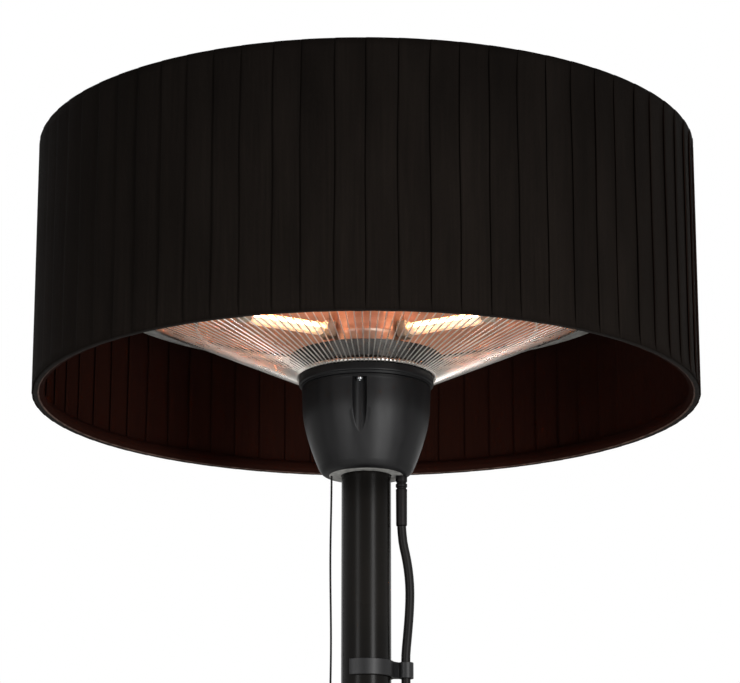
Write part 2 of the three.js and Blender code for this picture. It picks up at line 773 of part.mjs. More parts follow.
function makeReflector() {
  const steps = 3;
  const underside = [];
  for (let i = 0; i <= steps; i++) {
    const radius = DOME_LIP - ((DOME_LIP - POST_RADIUS - SLIP) * i) / steps;
    underside.push([radius, reflectorHeight(radius)]);
  }
  const edge = [
    [GRILLE_UPPER_RADIUS, reflectorHeight(DOME_LIP)],
    [GRILLE_UPPER_RADIUS, reflectorHeight(DOME_LIP) + REFLECTOR_WALL],
  ];
  const upside = underside.map(([radius, height]) => [radius, height + REFLECTOR_WALL]);
  add("reflector", revolve([...underside.reverse(), ...edge, ...upside]), polished);
}

// Height of the reflector's shining side: a shallow dish that opens downwards.
function reflectorHeight(radius) {
  const share = Math.min(1, radius / DOME_LIP);
  return flangeLow + DOME_WALL + TOUCH + REFLECTOR_RISE * (1 - share ** 2);
}

// The grille: straight wires from a ring on the collar to one under the dome's flange, and a hoop
// inside them that keeps them apart.
function makeGrille() {
  const run = GRILLE_UPPER_RADIUS - GRILLE_LOWER_RADIUS;
  const slope = Math.atan2(GRILLE_RISE, run);
  const length = Math.hypot(GRILLE_RISE, run);
  const wire = new THREE.CylinderGeometry(GRILLE_WIRE, GRILLE_WIRE, length, 3)
    .rotateY(-Math.PI / 2)
    .rotateZ(slope - Math.PI / 2)
    .rotateX(Math.PI / 2)
    .translate(GRILLE_LOWER_RADIUS + run / 2, 0, grilleLow + GRILLE_RISE / 2);
  const step = 360 / GRILLE_WIRES;
  const wires = around(GRILLE_WIRES, step / 2, (angle) => spin(wire.clone(), angle));
  const rings = [
    wireRing(GRILLE_LOWER_RADIUS, grilleLow, GRILLE_LOWER_WIRE, GRILLE_WIRES / 3, slope),
    wireRing(GRILLE_UPPER_RADIUS, grilleHigh, GRILLE_UPPER_WIRE, GRILLE_WIRES / 3, slope + Math.PI),
  ];
  add("grille", join(...rings, ...wires), chrome);

  const onWire = grilleLow + ((HOOP_RADIUS - GRILLE_LOWER_RADIUS) * GRILLE_RISE) / run;
  const above = GRILLE_WIRE + TOUCH + HOOP_WIRE;
  const hoopRadius = HOOP_RADIUS - above * Math.sin(slope);
  const hoopHeight = onWire + above * Math.cos(slope);
  add("grille_hoop", wireRing(hoopRadius, hoopHeight, HOOP_WIRE, ROUND), chrome);
}

// The dome: a flange round the grille, a short skirt, and a shallow crown with a stud for the shade.
function makeDome() {
  const crown = (inset, steps) => {
    const radius = DOME_RADIUS - inset;
    const rise = DOME_RISE - inset;
    const points = [];
    for (let i = 0; i <= steps; i++) {
      const angle = (Math.PI / 2) * (i / steps);
      points.push([
        DOME_TOP_RADIUS + (radius - DOME_TOP_RADIUS) * Math.cos(angle),
        domeEdge + DOME_SKIRT + rise * Math.sin(angle),
      ]);
    }
    return points;
  };
  const shell = revolve([
    [DOME_LIP, flangeLow],
    [GRILLE_UPPER_RADIUS, flangeLow],
    [DOME_RADIUS, domeEdge],
    ...crown(0, 4),
    [0, domeTop],
    [0, domeTop - DOME_WALL],
    ...crown(DOME_WALL, 3).reverse(),
    [DOME_RADIUS - DOME_WALL, domeEdge + DOME_WALL],
    [GRILLE_UPPER_RADIUS, flangeLow + DOME_WALL],
    [DOME_LIP, flangeLow + DOME_WALL],
  ]);
  add("dome_cover", shell, blackSteel);
  add("dome_stud", rod(STUD_RADIUS, domeTop + TOUCH, domeTop + STUD_HEIGHT), zincPlated);
}

// The top ring hangs on a spider that the nut holds on the dome. The bottom ring hangs in the cloth.
function makeRings() {
  const ringRadius = SHADE_RADIUS - PLEAT_DEPTH - PLEAT_WALL - TOUCH - SHADE_WIRE;
  const hub = sleeve(HUB_RADIUS, STUD_RADIUS + SLIP, hubLow, hubLow + HUB_THICKNESS, SMALL);
  const armLow = hubLow + HUB_THICKNESS - SPIDER_STRIP;
  const strip = new THREE.Shape();
  strip.moveTo(HUB_RADIUS - 4, armLow);
  strip.lineTo(SPIDER_ELBOW_RADIUS, armLow);
  strip.lineTo(ringRadius + SHADE_WIRE / 2, ringHigh - SPIDER_STRIP / 2);
  strip.lineTo(ringRadius - SHADE_WIRE / 2, ringHigh + SPIDER_STRIP / 2);
  strip.lineTo(SPIDER_ELBOW_RADIUS - SPIDER_STRIP / 2, armLow + SPIDER_STRIP);
  strip.lineTo(HUB_RADIUS - 4, armLow + SPIDER_STRIP);
  const arm = new THREE.ExtrudeGeometry(strip, { depth: SPIDER_WIDTH, bevelEnabled: false })
    .translate(0, 0, -SPIDER_WIDTH / 2)
    .rotateX(Math.PI / 2);
  const arms = around(SPIDER_ARMS, SPIDER_ANGLE, (angle) => spin(arm.clone(), angle));
  const topRing = wireRing(ringRadius, ringHigh, SHADE_WIRE, PLEATS / 2);
  add("shade_carrier", join(hub, topRing, ...arms), zincPlated);
  add("shade_bottom_ring", wireRing(ringRadius, ringLow, SHADE_WIRE, PLEATS / 2), blackSteel);

  const nutLow = hubLow + HUB_THICKNESS + TOUCH;
  add("shade_nut", sleeve(NUT_RADIUS, STUD_RADIUS + TOUCH, nutLow, nutLow + NUT_HEIGHT, SMALL), blackPlastic);
}

// In plan each pleat's panel slopes inwards from its fold and ends under the next one.
function makeShade() {
  const outline = (inset) => {
    const points = [];
    const corners = [
      [0, 0],
      [1 - FOLD_SHARE, PLEAT_DEPTH],
    ];
    for (let i = 0; i < PLEATS; i++) {
      for (const [share, depth] of corners) {
        const angle = (2 * Math.PI * (i + share)) / PLEATS;
        const radius = SHADE_RADIUS - depth - inset;
        points.push(new THREE.Vector2(radius * Math.cos(angle), radius * Math.sin(angle)));
      }
    }
    return points;
  };
  const section = new THREE.Shape(outline(0));
  section.holes.push(new THREE.Path(outline(PLEAT_WALL)));
  const cloth = new THREE.ExtrudeGeometry(section, { depth: SHADE_HEIGHT, bevelEnabled: false });
  add("shade_fabric", cloth.translate(0, 0, shadeLow), fabric);
}

function makeBoot() {
  const grooves = [];
  for (let i = 0; i < BOOT_GROOVES; i++) {
    const low = bootTop - 3 - i * BOOT_PITCH;
    grooves.push([BOOT_RADIUS, low], [BOOT_RADIUS - BOOT_GROOVE, low - 0.4]);
    grooves.push([BOOT_RADIUS - BOOT_GROOVE, low - 1.4], [BOOT_RADIUS, low - 1.8]);
  }
  const bootProfile = [
    [0, bootTop],
    [BOOT_RADIUS, bootTop],
    ...grooves,
    [BOOT_RADIUS, bootLow],
    [0, bootLow],
  ];
  const boot = revolve(bootProfile, 8);
  add("cable_boot", boot.translate(BOOT_X, 0, 0), rubber);
}

// A clip is an open band round the pole with an eye for the cable.
function makeClips() {
  const bandInner = POLE_RADIUS + TOUCH;
  const bandOuter = bandInner + CLIP_WALL;
  const opening = THREE.MathUtils.degToRad(CLIP_HALF_OPENING);
  const eyeInner = CABLE / 2 + TOUCH;
  const heights = [housingLow - CLIP_DROP, CLIP_MIDDLE, CLIP_LOWEST];
  heights.forEach((middle, i) => {
    const sector = new THREE.Shape();
    sector.absarc(0, 0, bandOuter, opening - Math.PI, Math.PI - opening, false);
    sector.absarc(0, 0, bandInner, Math.PI - opening, opening - Math.PI, true);
    const band = new THREE.ExtrudeGeometry(sector, {
      depth: CLIP_HEIGHT,
      bevelEnabled: false,
      curveSegments: 10,
    }).translate(0, 0, middle - CLIP_HEIGHT / 2);
    const low = middle - CLIP_HEIGHT / 2;
    const high = middle + CLIP_HEIGHT / 2;
    const eye = rod(eyeInner + CLIP_WALL, low, high).translate(CABLE_X, CABLE_Y, 0);
    const web = box(
      [bandInner + CLIP_WALL / 2, CABLE_X - eyeInner],
      [CABLE_Y - CLIP_WEB / 2, CABLE_Y + CLIP_WEB / 2],
      [low, high],
    );
    const hole = rod(eyeInner, low - 1, high + 1).translate(CABLE_X, CABLE_Y, 0);
    add(`cable_clip_${i + 1}`, cut(join(band, eye, web), hole), blackPlastic);
  });
}

function makeCable() {
  const points = CABLE_ROUTE.map((place) => new THREE.Vector3(...place));
  const path = new THREE.CatmullRomCurve3(points, false, "centripetal");
  // Steps are spaced by the route's own points, so they are short where the cable bends.
  path.getPointAt = (share, target) => path.getPoint(share, target);
  path.getTangentAt = (share, target) => path.getTangent(share, target);
  add("mains_cable", tubeAlong(path, CABLE / 2, 8, 2 * (points.length - 1)), rubber);
  console.log(`cable to the coil: ${path.getLength().toFixed(0)} mm`);
}

function makeCoil() {
  const points = coilPoints();
  add("cable_coil", tubeThrough(points, CABLE / 2, COIL_SIDES), rubber);
  let length = 0;
  for (let i = 1; i < points.length; i++) length += points[i].distanceTo(points[i - 1]);
  console.log(`coil: length ${length.toFixed(0)} mm, least gap ${leastGap(points).toFixed(2)} mm`);
  makePlug(points.at(-1));
}

function tubeAlong(path, radius, sides, steps) {
  const section = new THREE.Shape();
  section.setFromPoints(
    Array.from({ length: sides }, (_, i) => {
      const angle = (2 * Math.PI * (i + 0.5)) / sides;
      return new THREE.Vector2(radius * Math.cos(angle), radius * Math.sin(angle));
    }),
  );
  return new THREE.ExtrudeGeometry(section, { steps, extrudePath: path, bevelEnabled: false });
}

// The coil spirals in on the floor, climbs a layer in half a turn, spirals out and lifts to the plug.
function coilPoints() {
  const low = coilLow;
  const pitch = CABLE + COIL_GAP;
  const high = low + pitch;
  const innermost = COIL_RADIUS - pitch * COIL_TURNS_IN;
  const turns = COIL_TURNS_IN + 0.5 + COIL_TURNS_OUT;
  const smooth = (x) => THREE.MathUtils.smoothstep(x, 0, 1);
  const at = (turn) => {
    const climb = THREE.MathUtils.clamp((turn - COIL_TURNS_IN) * 2, 0, 1);
    const inwards = Math.max(0, COIL_TURNS_IN - turn);
    const outwards = Math.max(0, turn - COIL_TURNS_IN - 0.5);
    const radius = innermost + pitch * (inwards + outwards) - COIL_DIP * Math.sin(Math.PI * climb);
    const lift = (PLUG_RADIUS + TOUCH - high) * smooth((turn - turns + TAIL_TURN) / TAIL_TURN);
    const angle = 2 * Math.PI * turn;
    return new THREE.Vector3(
      COIL_X + radius * Math.cos(angle),
      COIL_Y + radius * Math.sin(angle),
      low + pitch * smooth(climb) + lift,
    );
  };
  const points = [at(0).sub(new THREE.Vector3(0, CABLE, 0))];
  const steps = Math.round(turns * COIL_STEPS);
  for (let i = 0; i <= steps; i++) points.push(at((turns * i) / steps));
  const tangent = 2 * Math.PI * turns;
  const away = new THREE.Vector3(-Math.sin(tangent), Math.cos(tangent), 0);
  points.push(points.at(-1).clone().addScaledVector(away, CABLE));
  return points;
}

// One unbroken tube through the points, with the same number of sides all along.
function tubeThrough(points, radius, sides) {
  const up = new THREE.Vector3(0, 0, 1);
  const vertices = [];
  points.forEach((point, i) => {
    const before = points[Math.max(0, i - 1)];
    const after = points[Math.min(points.length - 1, i + 1)];
    const along = after.clone().sub(before).normalize();
    const sideways = along.clone().cross(up).normalize();
    const upwards = sideways.clone().cross(along);
    for (let k = 0; k < sides; k++) {
      const angle = (2 * Math.PI * k) / sides;
      const corner = point
        .clone()
        .addScaledVector(sideways, radius * Math.cos(angle))
        .addScaledVector(upwards, radius * Math.sin(angle));
      vertices.push(...corner.toArray());
    }
  });
  const faces = [];
  for (let i = 0; i + 1 < points.length; i++) {
    for (let k = 0; k < sides; k++) {
      const a = i * sides + k;
      const b = i * sides + ((k + 1) % sides);
      faces.push(a, b + sides, b, a, a + sides, b + sides);
    }
  }
  const lastRing = (points.length - 1) * sides;
  for (let k = 1; k + 1 < sides; k++) {
    faces.push(0, k, k + 1);
    faces.push(lastRing, lastRing + k + 1, lastRing + k);
  }
  const geometry = new THREE.BufferGeometry();
  geometry.setAttribute("position", new THREE.Float32BufferAttribute(vertices, 3));
  geometry.setIndex(faces);
  return geometry;
}

// Distance between the surfaces of turns that lie side by side.
function leastGap(points) {
  let least = Infinity;
  for (let i = 0; i < points.length; i++) {
    for (let j = i + COIL_STEPS / 2; j < points.length; j++) {
      least = Math.min(least, points[i].distanceTo(points[j]) - CABLE);
    }
  }
  return least;
}

// A flat strap round the whole bundle, on the side away from the cable's ends.
function makeTie() {
  const pitch = CABLE + COIL_GAP;
  const rounding = CABLE / 2;
  const innermost = COIL_RADIUS - pitch * COIL_TURNS_IN - COIL_DIP;
  const near = Math.sqrt((innermost - CABLE / 2) ** 2 - (TIE_WIDTH / 2) ** 2) - TOUCH;
  const far = COIL_RADIUS + pitch / 2 + CABLE / 2 + TOUCH;
  const bottom = coilLow - CABLE / 2 - TOUCH;
  const top = coilLow + pitch + CABLE / 2 + TOUCH;
  const loop = (grow) => {
    const shape = new THREE.Path();
    const r = rounding + grow;
    shape.absarc(far - rounding, top - rounding, r, 0, Math.PI / 2, false);
    shape.absarc(near + rounding, top - rounding, r, Math.PI / 2, Math.PI, false);
    shape.absarc(near + rounding, bottom + rounding, r, Math.PI, 1.5 * Math.PI, false);
    shape.absarc(far - rounding, bottom + rounding, r, 1.5 * Math.PI, 2 * Math.PI, false);
    return shape;
  };
  const strap = new THREE.Shape(loop(TIE_THICKNESS).getPoints(3));
  strap.holes.push(new THREE.Path(loop(0).getPoints(3)));
  const tie = new THREE.ExtrudeGeometry(strap, { depth: TIE_WIDTH, bevelEnabled: false })
    .translate(0, 0, -TIE_WIDTH / 2)
    .rotateX(Math.PI / 2)
    .rotateZ(Math.PI * 1.25)
    .translate(COIL_X, COIL_Y, 0);
  add("coil_tie", tie, blackPlastic);
}

// The plug lies on the floor at the end of the coil, and points the way the cable leaves it.
function makePlug(end) {
  const turns = COIL_TURNS_IN + 0.5 + COIL_TURNS_OUT;
  const facing = 360 * turns;
  const place = (piece) =>
    spin(piece.rotateX(-Math.PI / 2), facing).translate(end.x, end.y, end.z);
  const start = TOUCH;
  const shoulder = start + PLUG_NECK;
  const face = shoulder + PLUG_BODY;
  const body = revolve([
    [0, start],
    [PLUG_NECK_RADIUS - 1, start],
    [PLUG_NECK_RADIUS, shoulder - 4],
    [PLUG_SHOULDER_RADIUS, shoulder],
    [(PLUG_SHOULDER_RADIUS + PLUG_RADIUS) / 2, shoulder + PLUG_BODY * 0.45],
    [PLUG_RADIUS, shoulder + PLUG_BODY * 0.6],
    [PLUG_RADIUS, face],
    [0, face],
  ], SLIM);
  add("plug_body", place(body), rubber);
  [-1, 1].forEach((side, i) => {
    const pin = rod(PIN_RADIUS, face + TOUCH, face + TOUCH + PIN_LENGTH);
    add(`plug_pin_${i + 1}`, place(pin.translate((side * PIN_SPACING) / 2, 0, 0)), zincPlated);
  });
}

makeWeight();
makeCover();
makeFeet();
makeSocket();
makePole();
makeHousing();
makeScrews();
makeCollar();
makeChassis();
makePullSwitch();
makePullCord();
makeTiltSwitch();
makeTerminalBlock();
makeDish();
makePost();
makeTubes();
makeReflector();
makeGrille();
makeDome();
makeRings();
makeShade();
makeBoot();
makeClips();
makeCable();
makeCoil();
makeTie();

export default root;
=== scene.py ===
import math
import random

import bmesh
import bpy
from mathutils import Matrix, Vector


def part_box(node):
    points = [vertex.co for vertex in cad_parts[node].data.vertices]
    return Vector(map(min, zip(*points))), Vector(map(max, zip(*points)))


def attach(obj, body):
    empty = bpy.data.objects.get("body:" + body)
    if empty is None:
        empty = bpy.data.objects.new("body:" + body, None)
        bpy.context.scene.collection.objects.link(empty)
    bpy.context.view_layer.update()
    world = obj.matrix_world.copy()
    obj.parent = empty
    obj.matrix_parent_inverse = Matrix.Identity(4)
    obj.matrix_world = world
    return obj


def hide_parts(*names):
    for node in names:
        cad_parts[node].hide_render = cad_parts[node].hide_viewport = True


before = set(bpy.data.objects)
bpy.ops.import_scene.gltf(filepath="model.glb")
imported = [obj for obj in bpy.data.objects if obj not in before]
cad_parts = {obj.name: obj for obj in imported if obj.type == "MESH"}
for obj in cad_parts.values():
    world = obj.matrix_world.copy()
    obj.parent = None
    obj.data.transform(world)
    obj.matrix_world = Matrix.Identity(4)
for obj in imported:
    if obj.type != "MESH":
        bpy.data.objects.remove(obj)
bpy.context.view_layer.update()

MM = 0.001
CREASE = 32  # degrees; a sharper edge is drawn sharp
dice = random.Random(4129)

# ---------------------------------------------------------------------------------------------
# Base cover: a disc of 1.5 mm steel, spun to a low cone with a rolled rim and powder coated in
# fine black. It drops over the cast weight and the socket, and dust settles on its flat part.


def colour(hex_code):
    """An sRGB hex code as the linear colour that a shader takes."""
    parts = [int(hex_code[i : i + 2], 16) / 255 for i in (1, 3, 5)]
    return [p / 12.92 if p < 0.04045 else ((p + 0.055) / 1.055) ** 2.4 for p in parts] + [1.0]


def add_node(tree, kind, inputs=None, **settings):
    """Adds a node to a tree. An input is a plain value, or another node's output to link."""
    made = tree.nodes.new(kind)
    for name, value in settings.items():
        setattr(made, name, value)
    for key, value in (inputs or {}).items():
        if isinstance(value, bpy.types.NodeSocket):
            tree.links.new(value, made.inputs[key])
        else:
            made.inputs[key].default_value = value
    return made


def new_finish(name, slot, **values):
    """A material with one Principled shader, for a slot of the record. Returns all three."""
    material = bpy.data.materials.new(name)
    material["slot"] = slot
    material.use_nodes = True
    tree = material.node_tree
    tree.nodes.clear()
    inputs = {key.replace("_", " "): value for key, value in values.items()}
    shader = add_node(tree, "ShaderNodeBsdfPrincipled", inputs)
    add_node(tree, "ShaderNodeOutputMaterial", {"Surface": shader.outputs[0]})
    return material, tree, shader


def mottle(tree, shader, colours, roughness, grain, height, cloud=60, stretch=(1, 1, 1)):
    """Varies a finish from place to place: two colours and two roughnesses in clouds, and a bumpy
    grain. The sizes of grain and cloud and the height are in millimetres."""
    place = add_node(tree, "ShaderNodeTexCoord").outputs["Object"]
    place = add_node(tree, "ShaderNodeMapping", {"Vector": place, "Scale": stretch}).outputs[0]
    fine = add_node(
        tree, "ShaderNodeTexNoise", {"Vector": place, "Scale": 1 / (grain * MM), "Detail": 2.0}
    )
    broad = add_node(
        tree, "ShaderNodeTexNoise", {"Vector": place, "Scale": 1 / (cloud * MM), "Detail": 4.0}
    )
    share = add_node(
        tree, "ShaderNodeMapRange", {"Value": broad.outputs[0], "From Min": 0.35, "From Max": 0.65}
    )
    tint = add_node(
        tree,
        "ShaderNodeMix",
        {0: share.outputs[0], 6: colour(colours[0]), 7: colour(colours[1])},
        data_type="RGBA",
    )
    gloss = add_node(
        tree,
        "ShaderNodeMapRange",
        {"Value": share.outputs[0], "To Min": roughness[0], "To Max": roughness[1]},
    )
    bump = add_node(
        tree, "ShaderNodeBump", {"Height": fine.outputs[0], "Distance": height * MM, "Strength": 1.0}
    )
    tree.links.new(tint.outputs[2], shader.inputs["Base Color"])
    tree.links.new(gloss.outputs[0], shader.inputs["Roughness"])
    tree.links.new(bump.outputs[0], shader.inputs["Normal"])
    return tint.outputs[2]


def new_piece(name, points, faces, material, body="frame", crease=CREASE):
    """A mesh piece from points in millimetres, smooth but for edges sharper than the crease."""
    mesh = bpy.data.meshes.new(name)
    mesh.from_pydata([[c * MM for c in p] for p in points], [], faces)
    work = bmesh.new()
    work.from_mesh(mesh)
    bmesh.ops.remove_doubles(work, verts=work.verts, dist=1e-6)
    bmesh.ops.recalc_face_normals(work, faces=work.faces)
    work.to_mesh(mesh)
    work.free()
    mesh.shade_smooth()
    mesh.set_sharp_from_angle(angle=math.radians(crease))
    mesh.materials.append(material)
    piece = bpy.data.objects.new(name, mesh)
    bpy.context.scene.collection.objects.link(piece)
    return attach(piece, body)


def soften(profile, radius, steps=4, closed=True):
    """Rounds the corners of a profile of (radius, height) points."""
    softened = []
    last = len(profile) - 1
    for i, point in enumerate(profile):
        here = Vector(point)
        before = Vector(profile[i - 1]) - here
        after = Vector(profile[(i + 1) % len(profile)]) - here
        at_end = not closed and i in (0, last)
        if at_end or before.angle(after, math.pi) > math.radians(176):
            softened.append(tuple(here))
            continue
        reach = min(radius, 0.45 * before.length, 0.45 * after.length)
        start = here + before.normalized() * reach
        end = here + after.normalized() * reach
        for k in range(steps + 1):
            t = k / steps
            softened.append(tuple(start * (1 - t) ** 2 + here * 2 * t * (1 - t) + end * t**2))
    return softened


def at_angle(radius, angle, centre=(0, 0)):
    """The plan point that far from a centre, at an angle in radians."""
    return centre[0] + radius * math.cos(angle), centre[1] + radius * math.sin(angle)


def row_faces(rows, sides, closed=True):
    """Faces between rows of points that go round. Closed also joins the last row to the first."""
    faces = []
    for i in range(rows if closed else rows - 1):
        row, following = i * sides, (i + 1) % rows * sides
        for k in range(sides):
            j = (k + 1) % sides
            faces.append((row + k, row + j, following + j, following + k))
    return faces


def turned(profile, facets=128, centre=(0, 0)):
    """Points and faces of a closed profile spun about the pole's axis, or a line beside it."""
    angles = [2 * math.pi * k / facets for k in range(facets)]
    points = [(*at_angle(radius, angle, centre), height) for radius, height in profile for angle in angles]
    return points, row_faces(len(profile), facets)


def raised(outline, height):
    """An outline drawn from the ground, lifted to a height."""
    return [(radius, height + up) for radius, up in outline]


def turn(name, profile, material, body="frame", facets=128, centre=(0, 0), crease=CREASE):
    """A turned piece. A profile that starts and ends on the axis makes a solid one."""
    points, faces = turned(profile, facets, centre)
    return new_piece(name, points, faces, material, body, crease)


# Polyester powder coat, baked on: a soft satin with an orange-peel grain that breaks highlights.
powder_coat, tree, shader = new_finish(
    "satin_powder_coat", "black_painted_steel", Specular_IOR_Level=0.07
)
coat = mottle(tree, shader, ("#0a0908", "#100e0c"), (0.22, 0.28), grain=1.0, height=0.012)
normal = add_node(tree, "ShaderNodeNewGeometry").outputs["Normal"]
upward = add_node(tree, "ShaderNodeSeparateXYZ", {"Vector": normal}).outputs["Z"]
level = add_node(tree, "ShaderNodeMapRange", {"Value": upward, "From Min": 0.7, "To Max": 0.1})
place = add_node(tree, "ShaderNodeTexCoord").outputs["Object"]
specks = add_node(tree, "ShaderNodeTexNoise", {"Vector": place, "Scale": 14.0, "Detail": 8.0})
settled = add_node(
    tree, "ShaderNodeMath", {0: level.outputs[0], 1: specks.outputs[0]}, operation="MULTIPLY"
)
dusty = add_node(
    tree, "ShaderNodeMix", {0: settled.outputs[0], 6: coat, 7: colour("#8d877c")}, data_type="RGBA"
)
tree.links.new(dusty.outputs[2], shader.inputs["Base Color"])

cover_low, cover_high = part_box("base_cover")
COVER_RADIUS = cover_high.x / MM
COVER_NECK = 18
COVER_TOP = cover_high.z / MM - COVER_NECK
COVER_WALL = 1.5
COVER_HOLE = 24
COVER_SHOULDER = 34
CONE_FOOT = 120
RIM = 14
RIM_CUT = 4.1  # from the rim's sharp corner to the middle of its bend
neck_top = COVER_TOP + COVER_NECK
rim_inside = RIM_CUT + 1.1
cover_skin = [
    (COVER_HOLE, neck_top - 0.1),
    (COVER_SHOULDER, neck_top - 0.1),
    (CONE_FOOT, COVER_TOP),
    (COVER_RADIUS - RIM, COVER_TOP),
    (COVER_RADIUS - RIM_CUT, COVER_TOP - RIM_CUT),
    (COVER_RADIUS, COVER_TOP - RIM),
    (COVER_RADIUS, cover_low.z / MM),
]
cover_inside = [
    (COVER_RADIUS - COVER_WALL, cover_low.z / MM),
    (COVER_RADIUS - COVER_WALL, COVER_TOP - RIM),
    (COVER_RADIUS - rim_inside, COVER_TOP - rim_inside),
    (COVER_RADIUS - RIM, COVER_TOP - COVER_WALL),
    (CONE_FOOT, COVER_TOP - COVER_WALL),
    (COVER_SHOULDER, neck_top - COVER_WALL),
    (COVER_HOLE, neck_top - COVER_WALL),
]
base_cover = turn("base_cover_spun", soften(cover_skin + cover_inside, 6, 5), powder_coat, facets=192)
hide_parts("base_cover")

# ---------------------------------------------------------------------------------------------
# Weight, feet and socket: a grey iron plate cast in sand, on four moulded rubber feet. A zinc
# plated steel socket is bolted to it with three hexagon bolts and holds the pole.

# Cast iron straight from the sand: dark grey, dull and rough to the touch.
cast_iron, tree, shader = new_finish("sand_cast_iron", "cast_iron_weight", Metallic=0.7)
mottle(tree, shader, ("#2c2b2a", "#3a3836"), (0.65, 0.8), grain=1.6, height=0.35)

# EPDM rubber, moulded: nearly black, dull, and greyer where it has bloomed.
rubber, tree, shader = new_finish("moulded_rubber", "black_rubber", Specular_IOR_Level=0.1)
mottle(tree, shader, ("#0d0b0b", "#151212"), (0.46, 0.6), grain=0.8, height=0.02, cloud=35)

# Bright zinc plate with a clear passivate: a bluish grey metal with a faint spangle.
zinc_plate, tree, shader = new_finish("zinc_plate", "zinc_plated_steel", Metallic=1.0)
mottle(tree, shader, ("#9fa3a8", "#b6b8b9"), (0.28, 0.42), grain=2.5, height=0.02, cloud=12)


def heights(node):
    """The bottom and the top of a CAD node, in millimetres."""
    return [corner.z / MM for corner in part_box(node)]


def dress(material, *nodes):
    """Gives CAD nodes that stay in view their finish."""
    for node in nodes:
        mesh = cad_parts[node].data
        mesh.materials.clear()
        mesh.materials.append(material)


def build_tree(name, sockets):
    """An empty Geometry Nodes tree with named inputs, and its input and output nodes."""
    tree = bpy.data.node_groups.new(name, "GeometryNodeTree")
    tree.interface.new_socket("Geometry", in_out="OUTPUT", socket_type="NodeSocketGeometry")
    for label, kind in sockets.items():
        tree.interface.new_socket(label, in_out="INPUT", socket_type="NodeSocket" + kind)
    return tree, add_node(tree, "NodeGroupInput").outputs, add_node(tree, "NodeGroupOutput").inputs


def grow(name, tree, material, **values):
    """Runs a tree with these values, and keeps its result as a plain mesh piece."""
    piece = bpy.data.objects.new(name, bpy.data.meshes.new(name))
    bpy.context.scene.collection.objects.link(piece)
    modifier = piece.modifiers.new(name, "NODES")
    modifier.node_group = tree
    values["Finish"] = material
    for item in tree.interface.items_tree:
        if item.in_out == "INPUT":
            modifier[item.identifier] = values[item.name.replace(" ", "_")]
    evaluated = piece.evaluated_get(bpy.context.evaluated_depsgraph_get())
    mesh = bpy.data.meshes.new_from_object(evaluated)
    piece.modifiers.clear()
    piece.data = mesh
    mesh.shade_smooth()
    mesh.set_sharp_from_angle(angle=math.radians(CREASE))
    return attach(piece, "frame")


def copies_round(tree, piece, given, result):
    """Ends a tree with copies of its piece round the pole, evenly spaced from a first angle."""
    index = add_node(tree, "GeometryNodeInputIndex").outputs[0]
    step = add_node(tree, "ShaderNodeMath", {0: 2 * math.pi, 1: given["Count"]}, operation="DIVIDE")
    turn_by = add_node(
        tree,
        "ShaderNodeMath",
        {0: index, 1: step.outputs[0], 2: given["First"]},
        operation="MULTIPLY_ADD",
    )
    rotation = add_node(tree, "ShaderNodeCombineXYZ", {"Z": turn_by.outputs[0]})
    points = add_node(tree, "GeometryNodePoints", {"Count": given["Count"]})
    copies = add_node(
        tree,
        "GeometryNodeInstanceOnPoints",
        {"Points": points.outputs[0], "Instance": piece, "Rotation": rotation.outputs[0]},
    )
    real = add_node(tree, "GeometryNodeRealizeInstances", {0: copies.outputs[0]})
    finished = add_node(
        tree, "GeometryNodeSetMaterial", {"Geometry": real.outputs[0], "Material": given["Finish"]}
    )
    tree.links.new(finished.outputs[0], result[0])


# Copies of one finished piece.
round_tree, given, result = build_tree(
    "copies_round_the_pole", {"Piece": "Object", "Count": "Int", "First": "Float", "Finish": "Material"}
)
original = add_node(round_tree, "GeometryNodeObjectInfo", {"Object": given["Piece"], "As Instance": True})
copies_round(round_tree, original.outputs["Geometry"], given, result)


def repeat_round(name, piece, count, first, material):
    """Takes one finished piece and sets it round the pole that many times, from an angle."""
    whole = grow(name, round_tree, material, Piece=piece, Count=count, First=math.radians(first))
    bpy.data.objects.remove(piece)
    return whole


dress(cast_iron, "base_weight")

FOOT_RADIUS = 16
FOOT_HEIGHT = 5
foot_circle = COVER_RADIUS - 35
foot_outline = [(0.01, 0), (11, 0), (12, 0.8), (FOOT_RADIUS, 0), (FOOT_RADIUS, FOOT_HEIGHT)]
foot_profile = soften([*foot_outline, (0.01, FOOT_HEIGHT)], 0.9)
foot = turn("foot", foot_profile, rubber, facets=48, centre=(foot_circle, 0))
feet = repeat_round("rubber_feet", foot, 4, 45, rubber)
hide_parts("rubber_foot_1", "rubber_foot_2", "rubber_foot_3", "rubber_foot_4")

SOCKET_BORE = 19.5
SOCKET_OUTSIDE = SOCKET_BORE + 3
FLANGE_RADIUS = 45
socket_top = heights("pole_socket")[1]
flange_low = heights("base_weight")[1] + 0.3
flange_top = flange_low + 4
socket_profile = [
    (0.01, flange_low),
    (FLANGE_RADIUS, flange_low),
    (FLANGE_RADIUS, flange_top),
    (SOCKET_OUTSIDE, flange_top),
    (SOCKET_OUTSIDE, socket_top),
    (SOCKET_BORE, socket_top),
    (SOCKET_BORE, flange_top),
    (0.01, flange_top),
]
socket = turn("pole_socket_welded", soften(socket_profile, 1), zinc_plate, facets=96)
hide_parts("pole_socket")

BOLT_CIRCLE = 36
BOLT_HEAD = [(0.01, 0), (4.7, 0), (5, 0.4), (5, 3.6), (4.6, 4), (0.01, 4)]
bolt_points, bolt_faces = turned(raised(BOLT_HEAD, flange_top), 6, (BOLT_CIRCLE, 0))
bolt = new_piece("bolt", bolt_points, bolt_faces, zinc_plate)
repeat_round("socket_bolts", bolt, 3, 90, zinc_plate)

# ---------------------------------------------------------------------------------------------
# Pole: three lengths of 38 mm steel tube with a 1.5 mm wall, powder coated like the base. Each
# joint is a plated sleeve inside the tubes, and its rib shows as a thin bright line.

